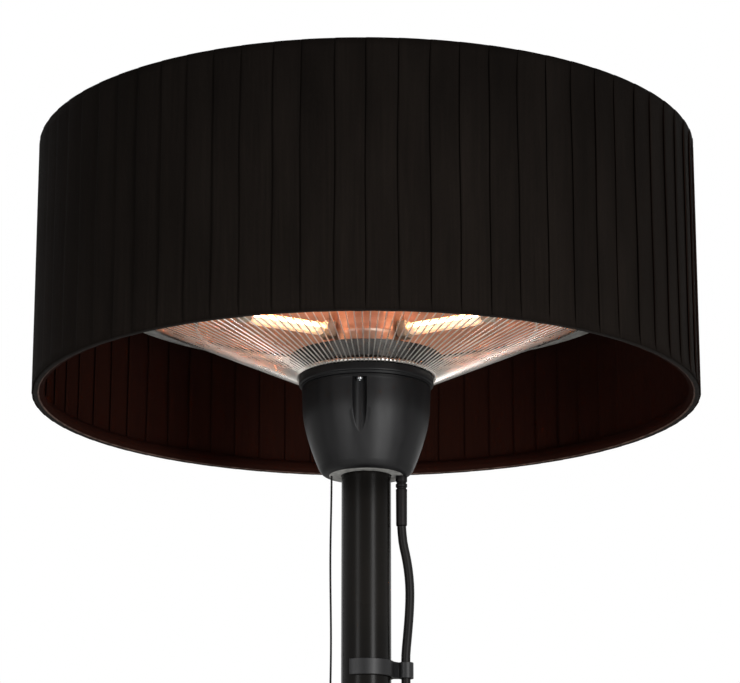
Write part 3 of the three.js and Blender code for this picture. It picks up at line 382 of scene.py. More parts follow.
POLE_RADIUS = 19
POLE_WALL = 1.5
for part in ("lower", "middle", "upper"):
    low, high = heights("pole_" + part)
    bore = POLE_RADIUS - POLE_WALL
    wall = [(POLE_RADIUS, low), (POLE_RADIUS, high), (bore, high), (bore, low)]
    tube_piece = turn(f"pole_{part}_tube", soften(wall, 0.6), powder_coat, facets=96)
    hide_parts("pole_" + part)

SLEEVE_RADIUS = POLE_RADIUS - POLE_WALL - 0.3
SLEEVE_WALL = 2
RIB = 3
for i in (1, 2):
    low, high = heights(f"pole_coupling_{i}")
    rib_low, rib_high = (low + high) / 2 - RIB / 2, (low + high) / 2 + RIB / 2
    sleeve = [
        (SLEEVE_RADIUS - SLEEVE_WALL, low),
        (SLEEVE_RADIUS, low),
        (SLEEVE_RADIUS, rib_low),
        (POLE_RADIUS, rib_low),
        (POLE_RADIUS, rib_high),
        (SLEEVE_RADIUS, rib_high),
        (SLEEVE_RADIUS, high),
        (SLEEVE_RADIUS - SLEEVE_WALL, high),
    ]
    coupling = turn(f"pole_joint_{i}", soften(sleeve, 0.5), zinc_plate, facets=96)
    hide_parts(f"pole_coupling_{i}")

# ---------------------------------------------------------------------------------------------
# Bell housing: black ABS, moulded, with a satin skin that shows faint upright flow marks. Three
# screws sit in channels sunk into its side, and its underside is a plate of bare cast zinc.

# ABS from a polished mould: a deep black with a soft shine, streaked along the draw.
satin_abs, tree, shader = new_finish("satin_abs", "black_plastic", Specular_IOR_Level=0.26)
mottle(
    tree,
    shader,
    ("#0e0e0f", "#151516"),
    (0.42, 0.5),
    grain=1.4,
    height=0.015,
    cloud=9,
    stretch=(1, 1, 0.12),
)

# Zinc die casting, unpainted: a pale grey, dull and blotchy from the mould.
bare_casting, tree, shader = new_finish("bare_zinc_casting", "zinc_plated_steel", Metallic=0.35)
mottle(tree, shader, ("#8e8e8b", "#b9b8b4"), (0.5, 0.7), grain=1.2, height=0.08, cloud=5)


def through(points, spacing):
    """A smooth line through points, as a list of Vectors about that far apart."""
    points = [Vector(p) for p in points]
    points = [2 * points[0] - points[1], *points, 2 * points[-1] - points[-2]]
    line = []
    for a, b, c, d in zip(points, points[1:], points[2:], points[3:]):
        # Centripetal: a chord's share of the curve is the square root of its length.
        ab, bc, cd = (math.sqrt(max(v.length, 1e-6)) for v in (b - a, c - b, d - c))
        leave = ((b - a) / ab - (c - a) / (ab + bc) + (c - b) / bc) * bc
        arrive = ((c - b) / bc - (d - b) / (bc + cd) + (d - c) / cd) * bc
        count = max(2, round((c - b).length / spacing))
        for k in range(count):
            t = k / count
            line.append(
                b * (2 * t**3 - 3 * t**2 + 1)
                + leave * (t**3 - 2 * t**2 + t)
                + c * (3 * t**2 - 2 * t**3)
                + arrive * (t**3 - t**2)
            )
    line.append(points[-2])
    return line


def second_finish(piece, material, picks):
    """Gives a piece another finish on the faces that a test picks."""
    piece.data.materials.append(material)
    for face in piece.data.polygons:
        if picks(face):
            face.material_index = len(piece.data.materials) - 1


bell_low = heights("bell_housing")[0]
BELL_SIDE = [(36.3, 4.7), (39.5, 12.5), (44.9, 28.5), (48.6, 44.3), (49.5, 60.2), (49.9, 69)]
BELL_WALL = 2.5
BELL_HEIGHT = 69
BELL_HOLE = POLE_RADIUS + 0.4
PLATE_RADIUS = 28.5
CHANNEL_RADIUS = 5.3
CHANNEL_CIRCLE = 49
CHANNEL_ANGLE = -96
CHANNEL_COLUMNS = [-0.95, -0.82, -0.6, -0.3, 0, 0.3, 0.6, 0.82, 0.95]
LAND_COLUMNS = 30
screw_head = heights("housing_screw_1")[0]
HEAD_HEIGHT = 2.4
channel_top = screw_head + HEAD_HEIGHT + 0.3 - bell_low


def bell_row(radius, height, channelled):
    """One ring of points round the bell, drawn in at each channel."""
    row = []
    reach = (CHANNEL_CIRCLE**2 + CHANNEL_RADIUS**2 - radius**2) / (2 * CHANNEL_CIRCLE * CHANNEL_RADIUS)
    sunk = channelled and reach < 0.998
    half = math.acos(max(-1, reach)) if sunk else 0
    lip = math.atan2(CHANNEL_RADIUS * math.sin(half), CHANNEL_CIRCLE - CHANNEL_RADIUS * math.cos(half))
    lip += 0.008
    for channel in range(3):
        middle = math.radians(CHANNEL_ANGLE + 120 * channel)
        for share in CHANNEL_COLUMNS:
            x, y = at_angle(radius, share * 0.006)
            if sunk:
                x = CHANNEL_CIRCLE - CHANNEL_RADIUS * math.cos(share * half)
                y = CHANNEL_RADIUS * math.sin(share * half)
            row.append((*at_angle(math.hypot(x, y), middle + math.atan2(y, x)), bell_low + height))
        for k in range(LAND_COLUMNS):
            angle = middle + lip + (math.radians(120) - 2 * lip) * k / (LAND_COLUMNS - 1)
            row.append((*at_angle(radius, angle), bell_low + height))
    return row


side = [tuple(p) for p in through(BELL_SIDE, 1.6)]
foot_of_side = [(BELL_HOLE, 0), (PLATE_RADIUS, 0)] + soften(
    [(PLATE_RADIUS, 0.05), (33.6, 1.1), BELL_SIDE[0]], 3, 6, closed=False
)[:-1]
bell_rows = [bell_row(r, h, False) for r, h in foot_of_side]
bell_rows += [bell_row(r, h, True) for r, h in side if h < channel_top]
ledge = next(r for r, h in side if h >= channel_top)
bell_rows += [bell_row(ledge, channel_top, True), bell_row(ledge, channel_top + 0.02, False)]
bell_rows += [bell_row(r, h, False) for r, h in side if channel_top + 0.1 < h < BELL_HEIGHT - 0.5]
bell_rim = [(49.9, BELL_HEIGHT - 0.4), (49.5, BELL_HEIGHT), (46, BELL_HEIGHT), (41, BELL_HEIGHT - 3)]
bell_inside = [(41, 30), (32, BELL_WALL), (BELL_HOLE, BELL_WALL)]
bell_rows += [bell_row(r, h, False) for r, h in bell_rim + bell_inside]
bell_faces = row_faces(len(bell_rows), len(bell_rows[0]))
bell = new_piece("bell_housing_moulded", sum(bell_rows, []), bell_faces, satin_abs, crease=40)
plate_height = (bell_low + 0.02) * MM
second_finish(bell, bare_casting, lambda face: face.center.z < plate_height and face.normal.z < -0.9)
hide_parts("bell_housing")

# The screws have pan heads with a round dimple, and are driven upwards into the collar.
SCREW_RADIUS = 2.6
SCREW_CIRCLE = CHANNEL_CIRCLE - CHANNEL_RADIUS + SCREW_RADIUS + 0.8
SCREW = [(0.01, 0.9), (0.7, 0.9), (0.8, 0), (1.6, 0.1), (2.3, 0.6), (SCREW_RADIUS, 1.3)]
SCREW += [(SCREW_RADIUS, HEAD_HEIGHT), (1.5, HEAD_HEIGHT), (1.5, HEAD_HEIGHT + 8), (0.01, HEAD_HEIGHT + 8)]
screw_profile = soften(raised(SCREW, screw_head), 0.25, 2)
screw = turn("screw", screw_profile, zinc_plate, facets=32, centre=(SCREW_CIRCLE, 0))
screws = repeat_round("housing_screws", screw, 3, CHANNEL_ANGLE, zinc_plate)
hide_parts("housing_screw_1", "housing_screw_2", "housing_screw_3")

# ---------------------------------------------------------------------------------------------
# Collar: a second ABS moulding that closes the bell. It is 2 mm wider, and the chamfer under
# its edge catches the light as a thin line.

collar_low, collar_high = heights("collar_cap")
COLLAR_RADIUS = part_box("collar_cap")[1].x / MM
COLLAR_BORE = 12
COLLAR_LIP = 39
COLLAR_ROOF = 3
STEP = 1.6
collar_profile = [
    (COLLAR_BORE, collar_high - COLLAR_ROOF),
    (COLLAR_LIP, collar_high - COLLAR_ROOF),
    (COLLAR_LIP, collar_low),
    (COLLAR_RADIUS - STEP, collar_low),
    (COLLAR_RADIUS - STEP, collar_low + STEP),
    (COLLAR_RADIUS - 0.2, collar_low + 2),
    (COLLAR_RADIUS, collar_low + 2.8),
    (COLLAR_RADIUS - 0.2, collar_high),
    (COLLAR_BORE, collar_high),
]
collar = turn("collar_moulded", soften(collar_profile, 0.5), satin_abs, facets=160)
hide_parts("collar_cap")

# ---------------------------------------------------------------------------------------------
# Switches: inside the bell a zinc plated plate carries the pull switch, the tilt switch and the
# terminal block, all moulded in plain polyamide. Only the cord's end leaves the housing.

# Glass-filled polyamide, natural colour: cream, dull, with fibres just under the skin.
polyamide, tree, shader = new_finish("natural_polyamide", "switch_plastic", IOR=1.53)
mottle(tree, shader, ("#b3ab93", "#c4bda6"), (0.5, 0.62), grain=0.7, height=0.02, cloud=8)

dress(zinc_plate, "chassis_plate", "pull_plunger", "tilt_pendulum")
dress(polyamide, "pull_switch_body", "ratchet_wheel", "tilt_switch_body", "terminal_block")

# ---------------------------------------------------------------------------------------------
# Pull cord: 430 mm of braided nylon, 1.6 mm thick. It hangs from the plunger through a hole in
# the bell's underside, and ends in a turned ABS knob.
WAVE = 0.314  # a wave texture's scale for one band in each metre


def tube(name, line, radius, material, body="frame", sides=16):
    """A closed tube along a line, with its length in metres as U of its own map, and V round it."""
    points, lengths = [], [0.0]
    for a, b in zip(line, line[1:]):
        lengths.append(lengths[-1] + (b - a).length)
    side = (line[1] - line[0]).orthogonal().normalized()
    for i, here in enumerate(line):
        along = (line[min(i + 1, len(line) - 1)] - line[max(i - 1, 0)]).normalized()
        side = (side - along * side.dot(along)).normalized()
        across = along.cross(side)
        for k in range(sides):
            x, y = at_angle(radius, 2 * math.pi * k / sides)
            points.append(here + side * x + across * y)
    faces = row_faces(len(line), sides, closed=False)
    faces.append(tuple(reversed(range(sides))))
    faces.append(tuple(range((len(line) - 1) * sides, len(line) * sides)))
    piece = new_piece(name, points, faces, material, body, crease=50)
    map_uv = piece.data.uv_layers.new(name="along")
    for face in piece.data.polygons:
        for loop in face.loop_indices:
            vertex = piece.data.loops[loop].vertex_index
            turn_share = vertex % sides / sides
            if vertex % sides == 0 and any(
                piece.data.loops[l].vertex_index % sides == sides - 1 for l in face.loop_indices
            ):
                turn_share = 1.0
            map_uv.data[loop].uv = (
                lengths[min(vertex // sides, len(lengths) - 1)] * MM,
                turn_share * 2 * math.pi * radius * MM,
            )
    return piece


# Braided nylon: two sets of yarns that cross at 45 degrees, with a dull shine along each yarn.
nylon, tree, shader = new_finish("braided_nylon", "nylon_cord", Roughness=0.6, Specular_IOR_Level=0.15)
along = add_node(tree, "ShaderNodeTexCoord").outputs["UV"]
YARN = 0.8  # millimetres from yarn to yarn
strands = []
for lean in (45, -45):
    leaned = add_node(
        tree, "ShaderNodeMapping", {"Vector": along, "Rotation": (0, 0, math.radians(lean))}
    )
    yarn = {"Vector": leaned.outputs[0], "Scale": WAVE / (YARN * MM)}
    strands.append(add_node(tree, "ShaderNodeTexWave", yarn, wave_profile="SIN").outputs[1])
braid = add_node(tree, "ShaderNodeMath", {0: strands[0], 1: strands[1]}, operation="MAXIMUM")
yarn_colour = add_node(
    tree,
    "ShaderNodeMix",
    {0: braid.outputs[0], 6: colour("#090909"), 7: colour("#191817")},
    data_type="RGBA",
)
relief = add_node(tree, "ShaderNodeBump", {"Height": braid.outputs[0], "Distance": 0.0002})
tree.links.new(yarn_colour.outputs[2], shader.inputs["Base Color"])
tree.links.new(relief.outputs[0], shader.inputs["Normal"])

PULL_X = -27
PULL_CORD = 1.6
CORD_STEPS = 86
cord_low, cord_high = heights("pull_cord")
CORD_LENGTH = cord_high - cord_low
hang = []
for k in range(CORD_STEPS + 1):
    x = PULL_X + 0.35 * math.sin(k / 4.1) * min(1, k / 6)
    hang.append(Vector((x, 0.3 * math.sin(k / 3.3 + 1), cord_high - CORD_LENGTH * k / CORD_STEPS)))
pull_cord = tube("pull_cord_braid", hang, PULL_CORD / 2, nylon, "pull", sides=12)
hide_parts("pull_cord")

knob_low, knob_high = heights("pull_knob")
knob_profile = [(0.01, knob_low), (3.9, knob_low), (6, knob_low + 2), (6.5, knob_low + 6)]
knob_profile += [(4.1, knob_high - 6), (2.8, knob_high - 1), (2.4, knob_high), (0.01, knob_high)]
knob = turn("pull_knob_turned", soften(knob_profile, 2.5, 5), satin_abs, "pull", 64, centre=(PULL_X, 0))
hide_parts("pull_knob")

# ---------------------------------------------------------------------------------------------
# Heat dish and post: both spun from aluminium. The dish lies on the collar and shields it, and
# the post stands on the collar up to the dome. The tubes' light and a painted glow turn the post
# copper red.

# The dish's aluminium, painted a dark grey: a painted reflection of the dark shade and collar round it.
dark_reflection_aluminium, tree, shader = new_finish(
    "greyed_aluminium", "polished_aluminium", Metallic=1.0, Anisotropic=0.5
)
mottle(tree, shader, ("#484746", "#5d5b59"), (0.2, 0.34), grain=3.0, height=0.03, cloud=14)

# The post's aluminium, straight from the spinning lathe: satin, tinted warm by a painted glow.
warm_glow_aluminium, tree, shader = new_finish("heat_tinted_aluminium", "polished_aluminium", Metallic=1.0)
mottle(
    tree,
    shader,
    ("#e2c3ae", "#efd7c6"),
    (0.36, 0.48),
    grain=3.0,
    height=0.04,
    cloud=18,
    stretch=(0.25, 0.25, 4),
)

collar_top = collar_high + 0.3
POST_RADIUS = 29.6
DISH_HOLE = POST_RADIUS + 0.5
DISH_FOOT = 49.5
DISH_RADIUS = 60
DISH_RISE = 15.5
DISH = [(DISH_HOLE, 0), (DISH_FOOT, 0), (DISH_RADIUS, DISH_RISE), (DISH_RADIUS - 1, DISH_RISE)]
DISH += [(DISH_FOOT - 0.5, 1), (DISH_HOLE, 1)]
dish = turn("heat_dish_spun", soften(raised(DISH, collar_top), 1.2), dark_reflection_aluminium)
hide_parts("heat_dish")

post_high = heights("centre_post")[1]
bead = collar_high + 32.5
POST_WALL = 1.5
post_profile = [
    (POST_RADIUS - POST_WALL, collar_top),
    (POST_RADIUS, collar_top),
    (POST_RADIUS, bead - 1.4),
    (POST_RADIUS + 0.7, bead),
    (POST_RADIUS, bead + 1.4),
    (POST_RADIUS, post_high),
    (POST_RADIUS - POST_WALL, post_high),
]
post = turn("centre_post_spun", soften(post_profile, 0.6), warm_glow_aluminium)
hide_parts("centre_post")

# ---------------------------------------------------------------------------------------------
# Halogen tubes: quartz glass round a coiled tungsten filament, run at a yellow heat. Each lies
# like a spoke between a steatite holder on the post and a steatite cap on a plated bracket.


def uneven_glow(tree, shader, colours, scale):
    """Lets a finish glow in clouds of two colours, with that many clouds to the metre."""
    place = add_node(tree, "ShaderNodeTexCoord").outputs["Object"]
    clouds = add_node(tree, "ShaderNodeTexNoise", {"Vector": place, "Scale": scale})
    glow = add_node(
        tree,
        "ShaderNodeMix",
        {0: clouds.outputs[0], 6: colour(colours[0]), 7: colour(colours[1])},
        data_type="RGBA",
    )
    tree.links.new(glow.outputs[2], shader.inputs["Emission Color"])


# Quartz glass, clear and smooth: it glows a little from the filament inside.
quartz, tree, shader = new_finish(
    "glowing_quartz",
    "halogen_glass",
    Base_Color=colour("#ffcf9a"),
    Roughness=0.06,
    IOR=1.46,
    Alpha=0.5,
    Emission_Strength=0.9,
)
uneven_glow(tree, shader, ("#ffd0ac", "#ffe2c4"), 90.0)

# The coat that is baked on the tubes' undersides against glare: it passes little of the
# filament's light and turns it to an even cream.
glare_coat, tree, shader = new_finish(
    "anti_glare_coat",
    "halogen_glass",
    Base_Color=colour("#c9a27a"),
    Roughness=0.3,
    Alpha=0.985,
    Emission_Strength=0.55,
)
uneven_glow(tree, shader, ("#f2cfa0", "#fff0d6"), 70.0)

# Tungsten at about 2400 K: brighter than anything else in view.
tungsten, tree, shader = new_finish(
    "hot_tungsten",
    "halogen_glass",
    Base_Color=colour("#ffdf9e"),
    Emission_Color=colour("#ffcaa8"),
    Emission_Strength=55.0,
)

# Steatite, fired: a warm white ceramic with a dry, slightly grainy skin.
steatite, tree, shader = new_finish("fired_steatite", "ceramic", IOR=1.6)
mottle(tree, shader, ("#a89a87", "#c2b6a3"), (0.55, 0.7), grain=0.6, height=0.03, cloud=6)

tube_axis = collar_high + 34.5
TUBE_RADIUS = 5
TUBE_START = 38.3
TUBE_END = 102.7
PINCH = 2.4
PINCH_LENGTH = 5
TUBE_ANGLE = -30
end_on = [(TUBE_START - PINCH_LENGTH, PINCH), (TUBE_START, PINCH)]
blown = [(TUBE_START + 1.5, TUBE_RADIUS - 0.8), (TUBE_START + 4, TUBE_RADIUS)]
shape = end_on + blown + [(TUBE_START + TUBE_END - x, r) for x, r in reversed(end_on + blown)]
tube_points, tube_faces = turned(
    [(0.01, shape[0][0]), *[(r, x) for x, r in shape], (0.01, shape[-1][0])], 48
)
tube_points = [(z, x, y + tube_axis) for x, y, z in tube_points]
glass = new_piece("glass", tube_points, tube_faces, quartz)
glass_tubes = repeat_round("halogen_tubes", glass, 3, TUBE_ANGLE, quartz)
second_finish(glass_tubes, glare_coat, lambda face: face.normal.z < 0.05)
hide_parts("halogen_tube_1", "halogen_tube_2", "halogen_tube_3")

FILAMENT_PITCH = 1.4
FILAMENT_RADIUS = 2.6
COIL_SIDES = 10
filament_start = TUBE_START + PINCH_LENGTH
filament_turns = (TUBE_END - PINCH_LENGTH - filament_start) / FILAMENT_PITCH
coil_line = []
for k in range(int(filament_turns * COIL_SIDES) + 1):
    y, z = at_angle(FILAMENT_RADIUS, 2 * math.pi * k / COIL_SIDES, (0, tube_axis))
    coil_line.append(Vector((filament_start + FILAMENT_PITCH * k / COIL_SIDES, y, z)))
filament = tube("filament", coil_line, 0.6, tungsten, sides=6)
repeat_round("filaments", filament, 3, TUBE_ANGLE, tungsten)


def block(xs, ys, zs, radius):
    """Points and faces of a box with its upright edges and its rims rounded."""
    rim = soften([(xs[0], ys[0]), (xs[1], ys[0]), (xs[1], ys[1]), (xs[0], ys[1])], radius, 3)
    middle = Vector((sum(xs) / 2, sum(ys) / 2))
    points = []
    bevel = radius * 0.6
    for height, inset in ((zs[0], bevel), (zs[0] + bevel, 0), (zs[1] - bevel, 0), (zs[1], bevel)):
        for corner in rim:
            inwards = (middle - Vector(corner)).normalized() * inset
            points.append((corner[0] + inwards.x, corner[1] + inwards.y, height))
    count = len(rim)
    caps = [tuple(reversed(range(count))), tuple(range(3 * count, 4 * count))]
    return points, caps + row_faces(4, count, closed=False)


holder = new_piece(
    "holder",
    *block((POST_RADIUS + 0.9, TUBE_START - 0.3), (-6.5, 6.5), (tube_axis - 6.5, tube_axis + 6.5), 1.2),
    steatite,
)
holders = repeat_round("tube_holders", holder, 3, TUBE_ANGLE, steatite)
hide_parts("tube_holder_1", "tube_holder_2", "tube_holder_3")
cap = new_piece(
    "cap",
    *block((TUBE_END + 0.3, TUBE_END + 8.3), (-5.5, 5.5), (tube_axis - 3.2, tube_axis + 7), 1.2),
    steatite,
)
caps = repeat_round("tube_end_caps", cap, 3, TUBE_ANGLE, steatite)
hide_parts("tube_end_cap_1", "tube_end_cap_2", "tube_end_cap_3")
dress(zinc_plate, "tube_bracket_1", "tube_bracket_2", "tube_bracket_3")

# ---------------------------------------------------------------------------------------------
# Reflector: a shallow spun dish of satin aluminium over the tubes. It smears their light into soft
# bands, and its pink and tan tint is a painted glow that stands for that light.

# Satin aluminium, nearly matt, painted pinkish tan: a painted glow of the tubes' light on it.
pink_glow_aluminium, tree, shader = new_finish(
    "anodised_satin_aluminium", "polished_aluminium", Metallic=0.85
)
mottle(tree, shader, ("#d4a186", "#e8b89c"), (0.6, 0.72), grain=3.0, height=0.03, cloud=25)

reflector_low = heights("reflector")[0]
REFLECTOR_EDGE = 186.7
REFLECTOR_BOWL = 184.2
REFLECTOR_RISE = 34
REFLECTOR_SHEET = 0.8
BOWL_STEPS = 24
below = []
for k in range(BOWL_STEPS + 1):
    radius = REFLECTOR_BOWL - (REFLECTOR_BOWL - POST_RADIUS - 0.5) * k / BOWL_STEPS
    below.append((radius, reflector_low + REFLECTOR_RISE * (1 - (radius / REFLECTOR_BOWL) ** 2)))
above = [(radius, height + REFLECTOR_SHEET) for radius, height in reversed(below)]
edge_low, edge_high = raised([(REFLECTOR_EDGE, 0), (REFLECTOR_EDGE, REFLECTOR_SHEET)], reflector_low)
reflector_profile = [edge_low, *below, *above, edge_high]
reflector = turn("reflector_spun", reflector_profile, pink_glow_aluminium, facets=160)
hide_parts("reflector")

# ---------------------------------------------------------------------------------------------
# Grille: 108 straight wires of chromed steel, about 1 mm thick, welded from a ring on the collar
# to a ring under the dome's edge. A third ring inside them keeps their spacing.

# Chrome plate over nickel: a mirror with a slight orange peel from the wire below.
chrome, tree, shader = new_finish("chromed_wire", "chromed_wire", Metallic=1.0)
mottle(tree, shader, ("#d0cdc8", "#e2ded8"), (0.25, 0.35), grain=2.0, height=0.01, cloud=15)

wire_tree, given, result = build_tree(
    "cone_of_wires",
    {
        "Count": "Int",
        "First": "Float",
        "Lower Radius": "Float",
        "Upper Radius": "Float",
        "Lower Height": "Float",
        "Upper Height": "Float",
        "Wire Radius": "Float",
        "Finish": "Material",
    },
)
low_end = add_node(
    wire_tree, "ShaderNodeCombineXYZ", {"X": given["Lower Radius"], "Z": given["Lower Height"]}
)
high_end = add_node(
    wire_tree, "ShaderNodeCombineXYZ", {"X": given["Upper Radius"], "Z": given["Upper Height"]}
)
wire_line = add_node(
    wire_tree, "GeometryNodeCurvePrimitiveLine", {"Start": low_end.outputs[0], "End": high_end.outputs[0]}
)
section = add_node(
    wire_tree, "GeometryNodeCurvePrimitiveCircle", {"Resolution": 12, "Radius": given["Wire Radius"]}
)
wire = add_node(
    wire_tree,
    "GeometryNodeCurveToMesh",
    {"Curve": wire_line.outputs[0], "Profile Curve": section.outputs[0], "Fill Caps": True},
)
copies_round(wire_tree, wire.outputs[0], given, result)
WIRES = 108


def hoop(name, radius, height, wire, material):
    """A ring of round wire about the pole."""
    section = [at_angle(wire, math.pi * k / 6, (radius, height)) for k in range(12)]
    return turn(name, section, material, facets=2 * WIRES)


LOWER_RING_WIRE = 1.5
UPPER_RING_WIRE = 2
grille_low = collar_top + LOWER_RING_WIRE
GRILLE_RISE = 61
GRILLE_INNER = 53.2
WIRES_OUT, WIRES_DOWN = 0.8, 1.7  # the wires are welded to the rings' undersides
cone = grow(
    "grille_wires",
    wire_tree,
    chrome,
    Count=WIRES,
    First=math.pi / WIRES,
    Lower_Radius=(GRILLE_INNER + WIRES_OUT) * MM,
    Upper_Radius=(REFLECTOR_EDGE + WIRES_OUT) * MM,
    Lower_Height=(grille_low - WIRES_DOWN) * MM,
    Upper_Height=(grille_low + GRILLE_RISE - WIRES_DOWN) * MM,
    Wire_Radius=0.52 * MM,
)
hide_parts("grille")
hoop("grille_lower_ring", GRILLE_INNER, grille_low, LOWER_RING_WIRE, chrome)
hoop("grille_upper_ring", REFLECTOR_EDGE, grille_low + GRILLE_RISE, UPPER_RING_WIRE, chrome)
hoop_low, hoop_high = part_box("grille_hoop")
spacer = hoop("grille_spacer", hoop_high.x / MM - 0.78, (hoop_low.z + hoop_high.z) / 2 / MM, 1.1, chrome)
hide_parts("grille_hoop")

# ---------------------------------------------------------------------------------------------
# Dome: pressed from 1.5 mm steel and powder coated, but for the flange's underside, which rests
# on the grille's upper ring and holds the reflector. A stud on its crown carries the shade.

dome_low, dome_high = heights("dome_cover")
DOME_RADIUS = 214.5
DOME_WALL = 1.5
DOME_FLAT = 40
DOME_RISE = 58
CROWN_STEPS = 24
dome_edge = dome_low + 2.8


def crown(inset):
    """The dome's quarter ellipse from its edge up to the flat top."""
    line = []
    for k in range(CROWN_STEPS + 1):
        out, up = at_angle(1, math.pi / 2 * k / CROWN_STEPS)
        radius = DOME_FLAT + (DOME_RADIUS - inset - DOME_FLAT) * out
        line.append((radius, dome_edge + 6 + (DOME_RISE - inset) * up))
    return line


dome_profile = [
    (REFLECTOR_BOWL, dome_low),
    (REFLECTOR_EDGE, dome_low),
    (DOME_RADIUS - DOME_WALL, dome_edge),
    (DOME_RADIUS, dome_edge + DOME_WALL),
    *crown(0),
    (0.01, dome_high),
    (0.01, dome_high - DOME_WALL),
    *reversed(crown(DOME_WALL)),
    (DOME_RADIUS - DOME_WALL, dome_edge + DOME_WALL + 1),
    (REFLECTOR_EDGE, dome_low + DOME_WALL),
    (REFLECTOR_BOWL, dome_low + DOME_WALL),
]
dome = turn("dome_pressed", soften(dome_profile, 0.6, 2), powder_coat, facets=192)
flange_height = (dome_edge + 1) * MM
second_finish(dome, bare_casting, lambda face: face.normal.z < -0.5 and face.center.z < flange_height)
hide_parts("dome_cover")

stud_low, stud_high = heights("dome_stud")
THREAD_PITCH = 1.25
THREAD_OUT, THREAD_ROOT = 4.0, 3.4
thread = [(0.01, stud_low)]
for k in range(int((stud_high - stud_low - 1) / THREAD_PITCH)):
    ridge = stud_low + THREAD_PITCH * k + 0.2
    thread += [(THREAD_OUT, ridge), (THREAD_ROOT, ridge + 0.63)]
thread += [(THREAD_ROOT, stud_high - 0.8), (2.8, stud_high), (0.01, stud_high)]
stud = turn("dome_stud_threaded", thread, zinc_plate, facets=48, crease=60)
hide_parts("dome_stud")

# ---------------------------------------------------------------------------------------------
# Shade carrier: a hub, three flat arms and the top ring, all zinc plated steel, and a moulded
# knurled nut that holds the hub on the stud. The lower ring is powder coated.

carrier_low, carrier_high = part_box("shade_carrier")
RING_WIRE = 2
ring_radius = carrier_high.x / MM - RING_WIRE + 0.6
ring_height = carrier_high.z / MM - RING_WIRE + 0.6
hub_low = carrier_low.z / MM
HUB = [(4.5, 0), (18, 0), (18, 3), (4.5, 3)]
hub = turn("shade_hub", soften(raised(HUB, hub_low), 0.6), zinc_plate, facets=64)
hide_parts("shade_carrier")
hoop("shade_top_ring", ring_radius, ring_height, RING_WIRE, zinc_plate)
arm_line = through(
    [(15, 0, hub_low + 2), (110, 0, hub_low + 2), (196, 0, hub_low + 2), (204, 0, hub_low + 7)]
    + [(ring_radius - 6, 0, ring_height - 6), (ring_radius - 0.5, 0, ring_height)],
    6,
)
# Half of an arm's section, as points across and upwards from its middle.
ARM_HALF = [(-5, -0.7), (-4.7, -1), (4.7, -1), (5, -0.7)]
arm_section = ARM_HALF + [(-across, -up) for across, up in ARM_HALF]
arm_points = []
for i, here in enumerate(arm_line):
    along = (arm_line[min(i + 1, len(arm_line) - 1)] - arm_line[max(i - 1, 0)]).normalized()
    up = Vector((-along.z, 0, along.x))
    for across, thick in arm_section:
        arm_points.append(here + up * thick + Vector((0, across, 0)))
sides = len(arm_section)
arm_faces = [tuple(reversed(range(sides))), tuple(range(len(arm_points) - sides, len(arm_points)))]
arm_faces += row_faces(len(arm_line), sides, closed=False)
arm = new_piece("arm", arm_points, arm_faces, zinc_plate)
repeat_round("shade_arms", arm, 3, 30, zinc_plate)

bottom_low, bottom_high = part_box("shade_bottom_ring")
bottom_height = (bottom_low.z + bottom_high.z) / 2 / MM
lower_ring = hoop("shade_lower_ring", ring_radius, bottom_height, RING_WIRE, powder_coat)
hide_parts("shade_bottom_ring")

nut_low = heights("shade_nut")[0]
KNURLS = 24
NUT = [(4.4, 0), (9.6, 0), (10.6, 1), (10.6, 9), (9.6, 10), (6, 10), (5, 9.4), (4.4, 9.4)]
nut_points, nut_faces = turned(raised(NUT, nut_low), 4 * KNURLS)
knurled = []
for x, y, z in nut_points:
    radius = math.hypot(x, y)
    grip = 1 + 0.045 * math.cos(KNURLS * math.atan2(y, x)) * (radius > 9)
    knurled.append((x * grip, y * grip, z))
nut = new_piece("shade_nut_knurled", knurled, nut_faces, satin_abs, crease=45)
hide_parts("shade_nut")

# ---------------------------------------------------------------------------------------------
# Shade: black woven cloth in 72 knife pleats, pressed flat one way round and sewn into a bound
# hem over each ring. The pleats are never quite even: their folds bow and lean a little.

# Plain-woven polyester, dyed black: matt, with a faint shine and slubs along the upright yarns.
pleated_cloth, tree, shader = new_finish(
    "woven_polyester", "pleated_black_fabric", Specular_IOR_Level=0.01
)
THREAD = 0.9  # millimetres; a real thread is 0.4, too fine to show
cloth_map = add_node(tree, "ShaderNodeTexCoord").outputs["UV"]
threads = []
for direction in ("X", "Y"):
    yarn = {"Vector": cloth_map, "Scale": WAVE / (THREAD * MM), "Distortion": 0.6, "Detail": 1.0}
    threads.append(add_node(tree, "ShaderNodeTexWave", yarn, bands_direction=direction).outputs[1])
weave = add_node(tree, "ShaderNodeMath", {0: threads[0], 1: threads[1]}, operation="MULTIPLY")
slub_place = add_node(tree, "ShaderNodeMapping", {"Vector": cloth_map, "Scale": (1, 0.03, 1)})
slubs = add_node(
    tree, "ShaderNodeTexNoise", {"Vector": slub_place.outputs[0], "Scale": 420.0, "Detail": 3.0}
)
fade_place = add_node(tree, "ShaderNodeMapping", {"Vector": cloth_map, "Scale": (1, 0.3, 1)})
faded = add_node(
    tree, "ShaderNodeTexNoise", {"Vector": fade_place.outputs[0], "Scale": 26.0, "Detail": 5.0}
)
dyed = add_node(
    tree,
    "ShaderNodeMix",
    {0: slubs.outputs[0], 6: colour("#0f0d0b"), 7: colour("#1e1916")},
    data_type="RGBA",
)
# Painted shade: the cloth is painted darker towards its top, as if lit from below, and in random darker
# patches.
up_the_cloth = add_node(tree, "ShaderNodeSeparateXYZ", {"Vector": cloth_map}).outputs["Y"]
painted_shade_share = add_node(
    tree,
    "ShaderNodeMapRange",
    {"Value": up_the_cloth, "From Min": 0.0, "From Max": 0.2, "To Min": -0.3, "To Max": 0.15},
)
dull = add_node(
    tree,
    "ShaderNodeMath",
    {0: faded.outputs[0], 1: 1.1, 2: painted_shade_share.outputs[0]},
    operation="MULTIPLY_ADD",
)
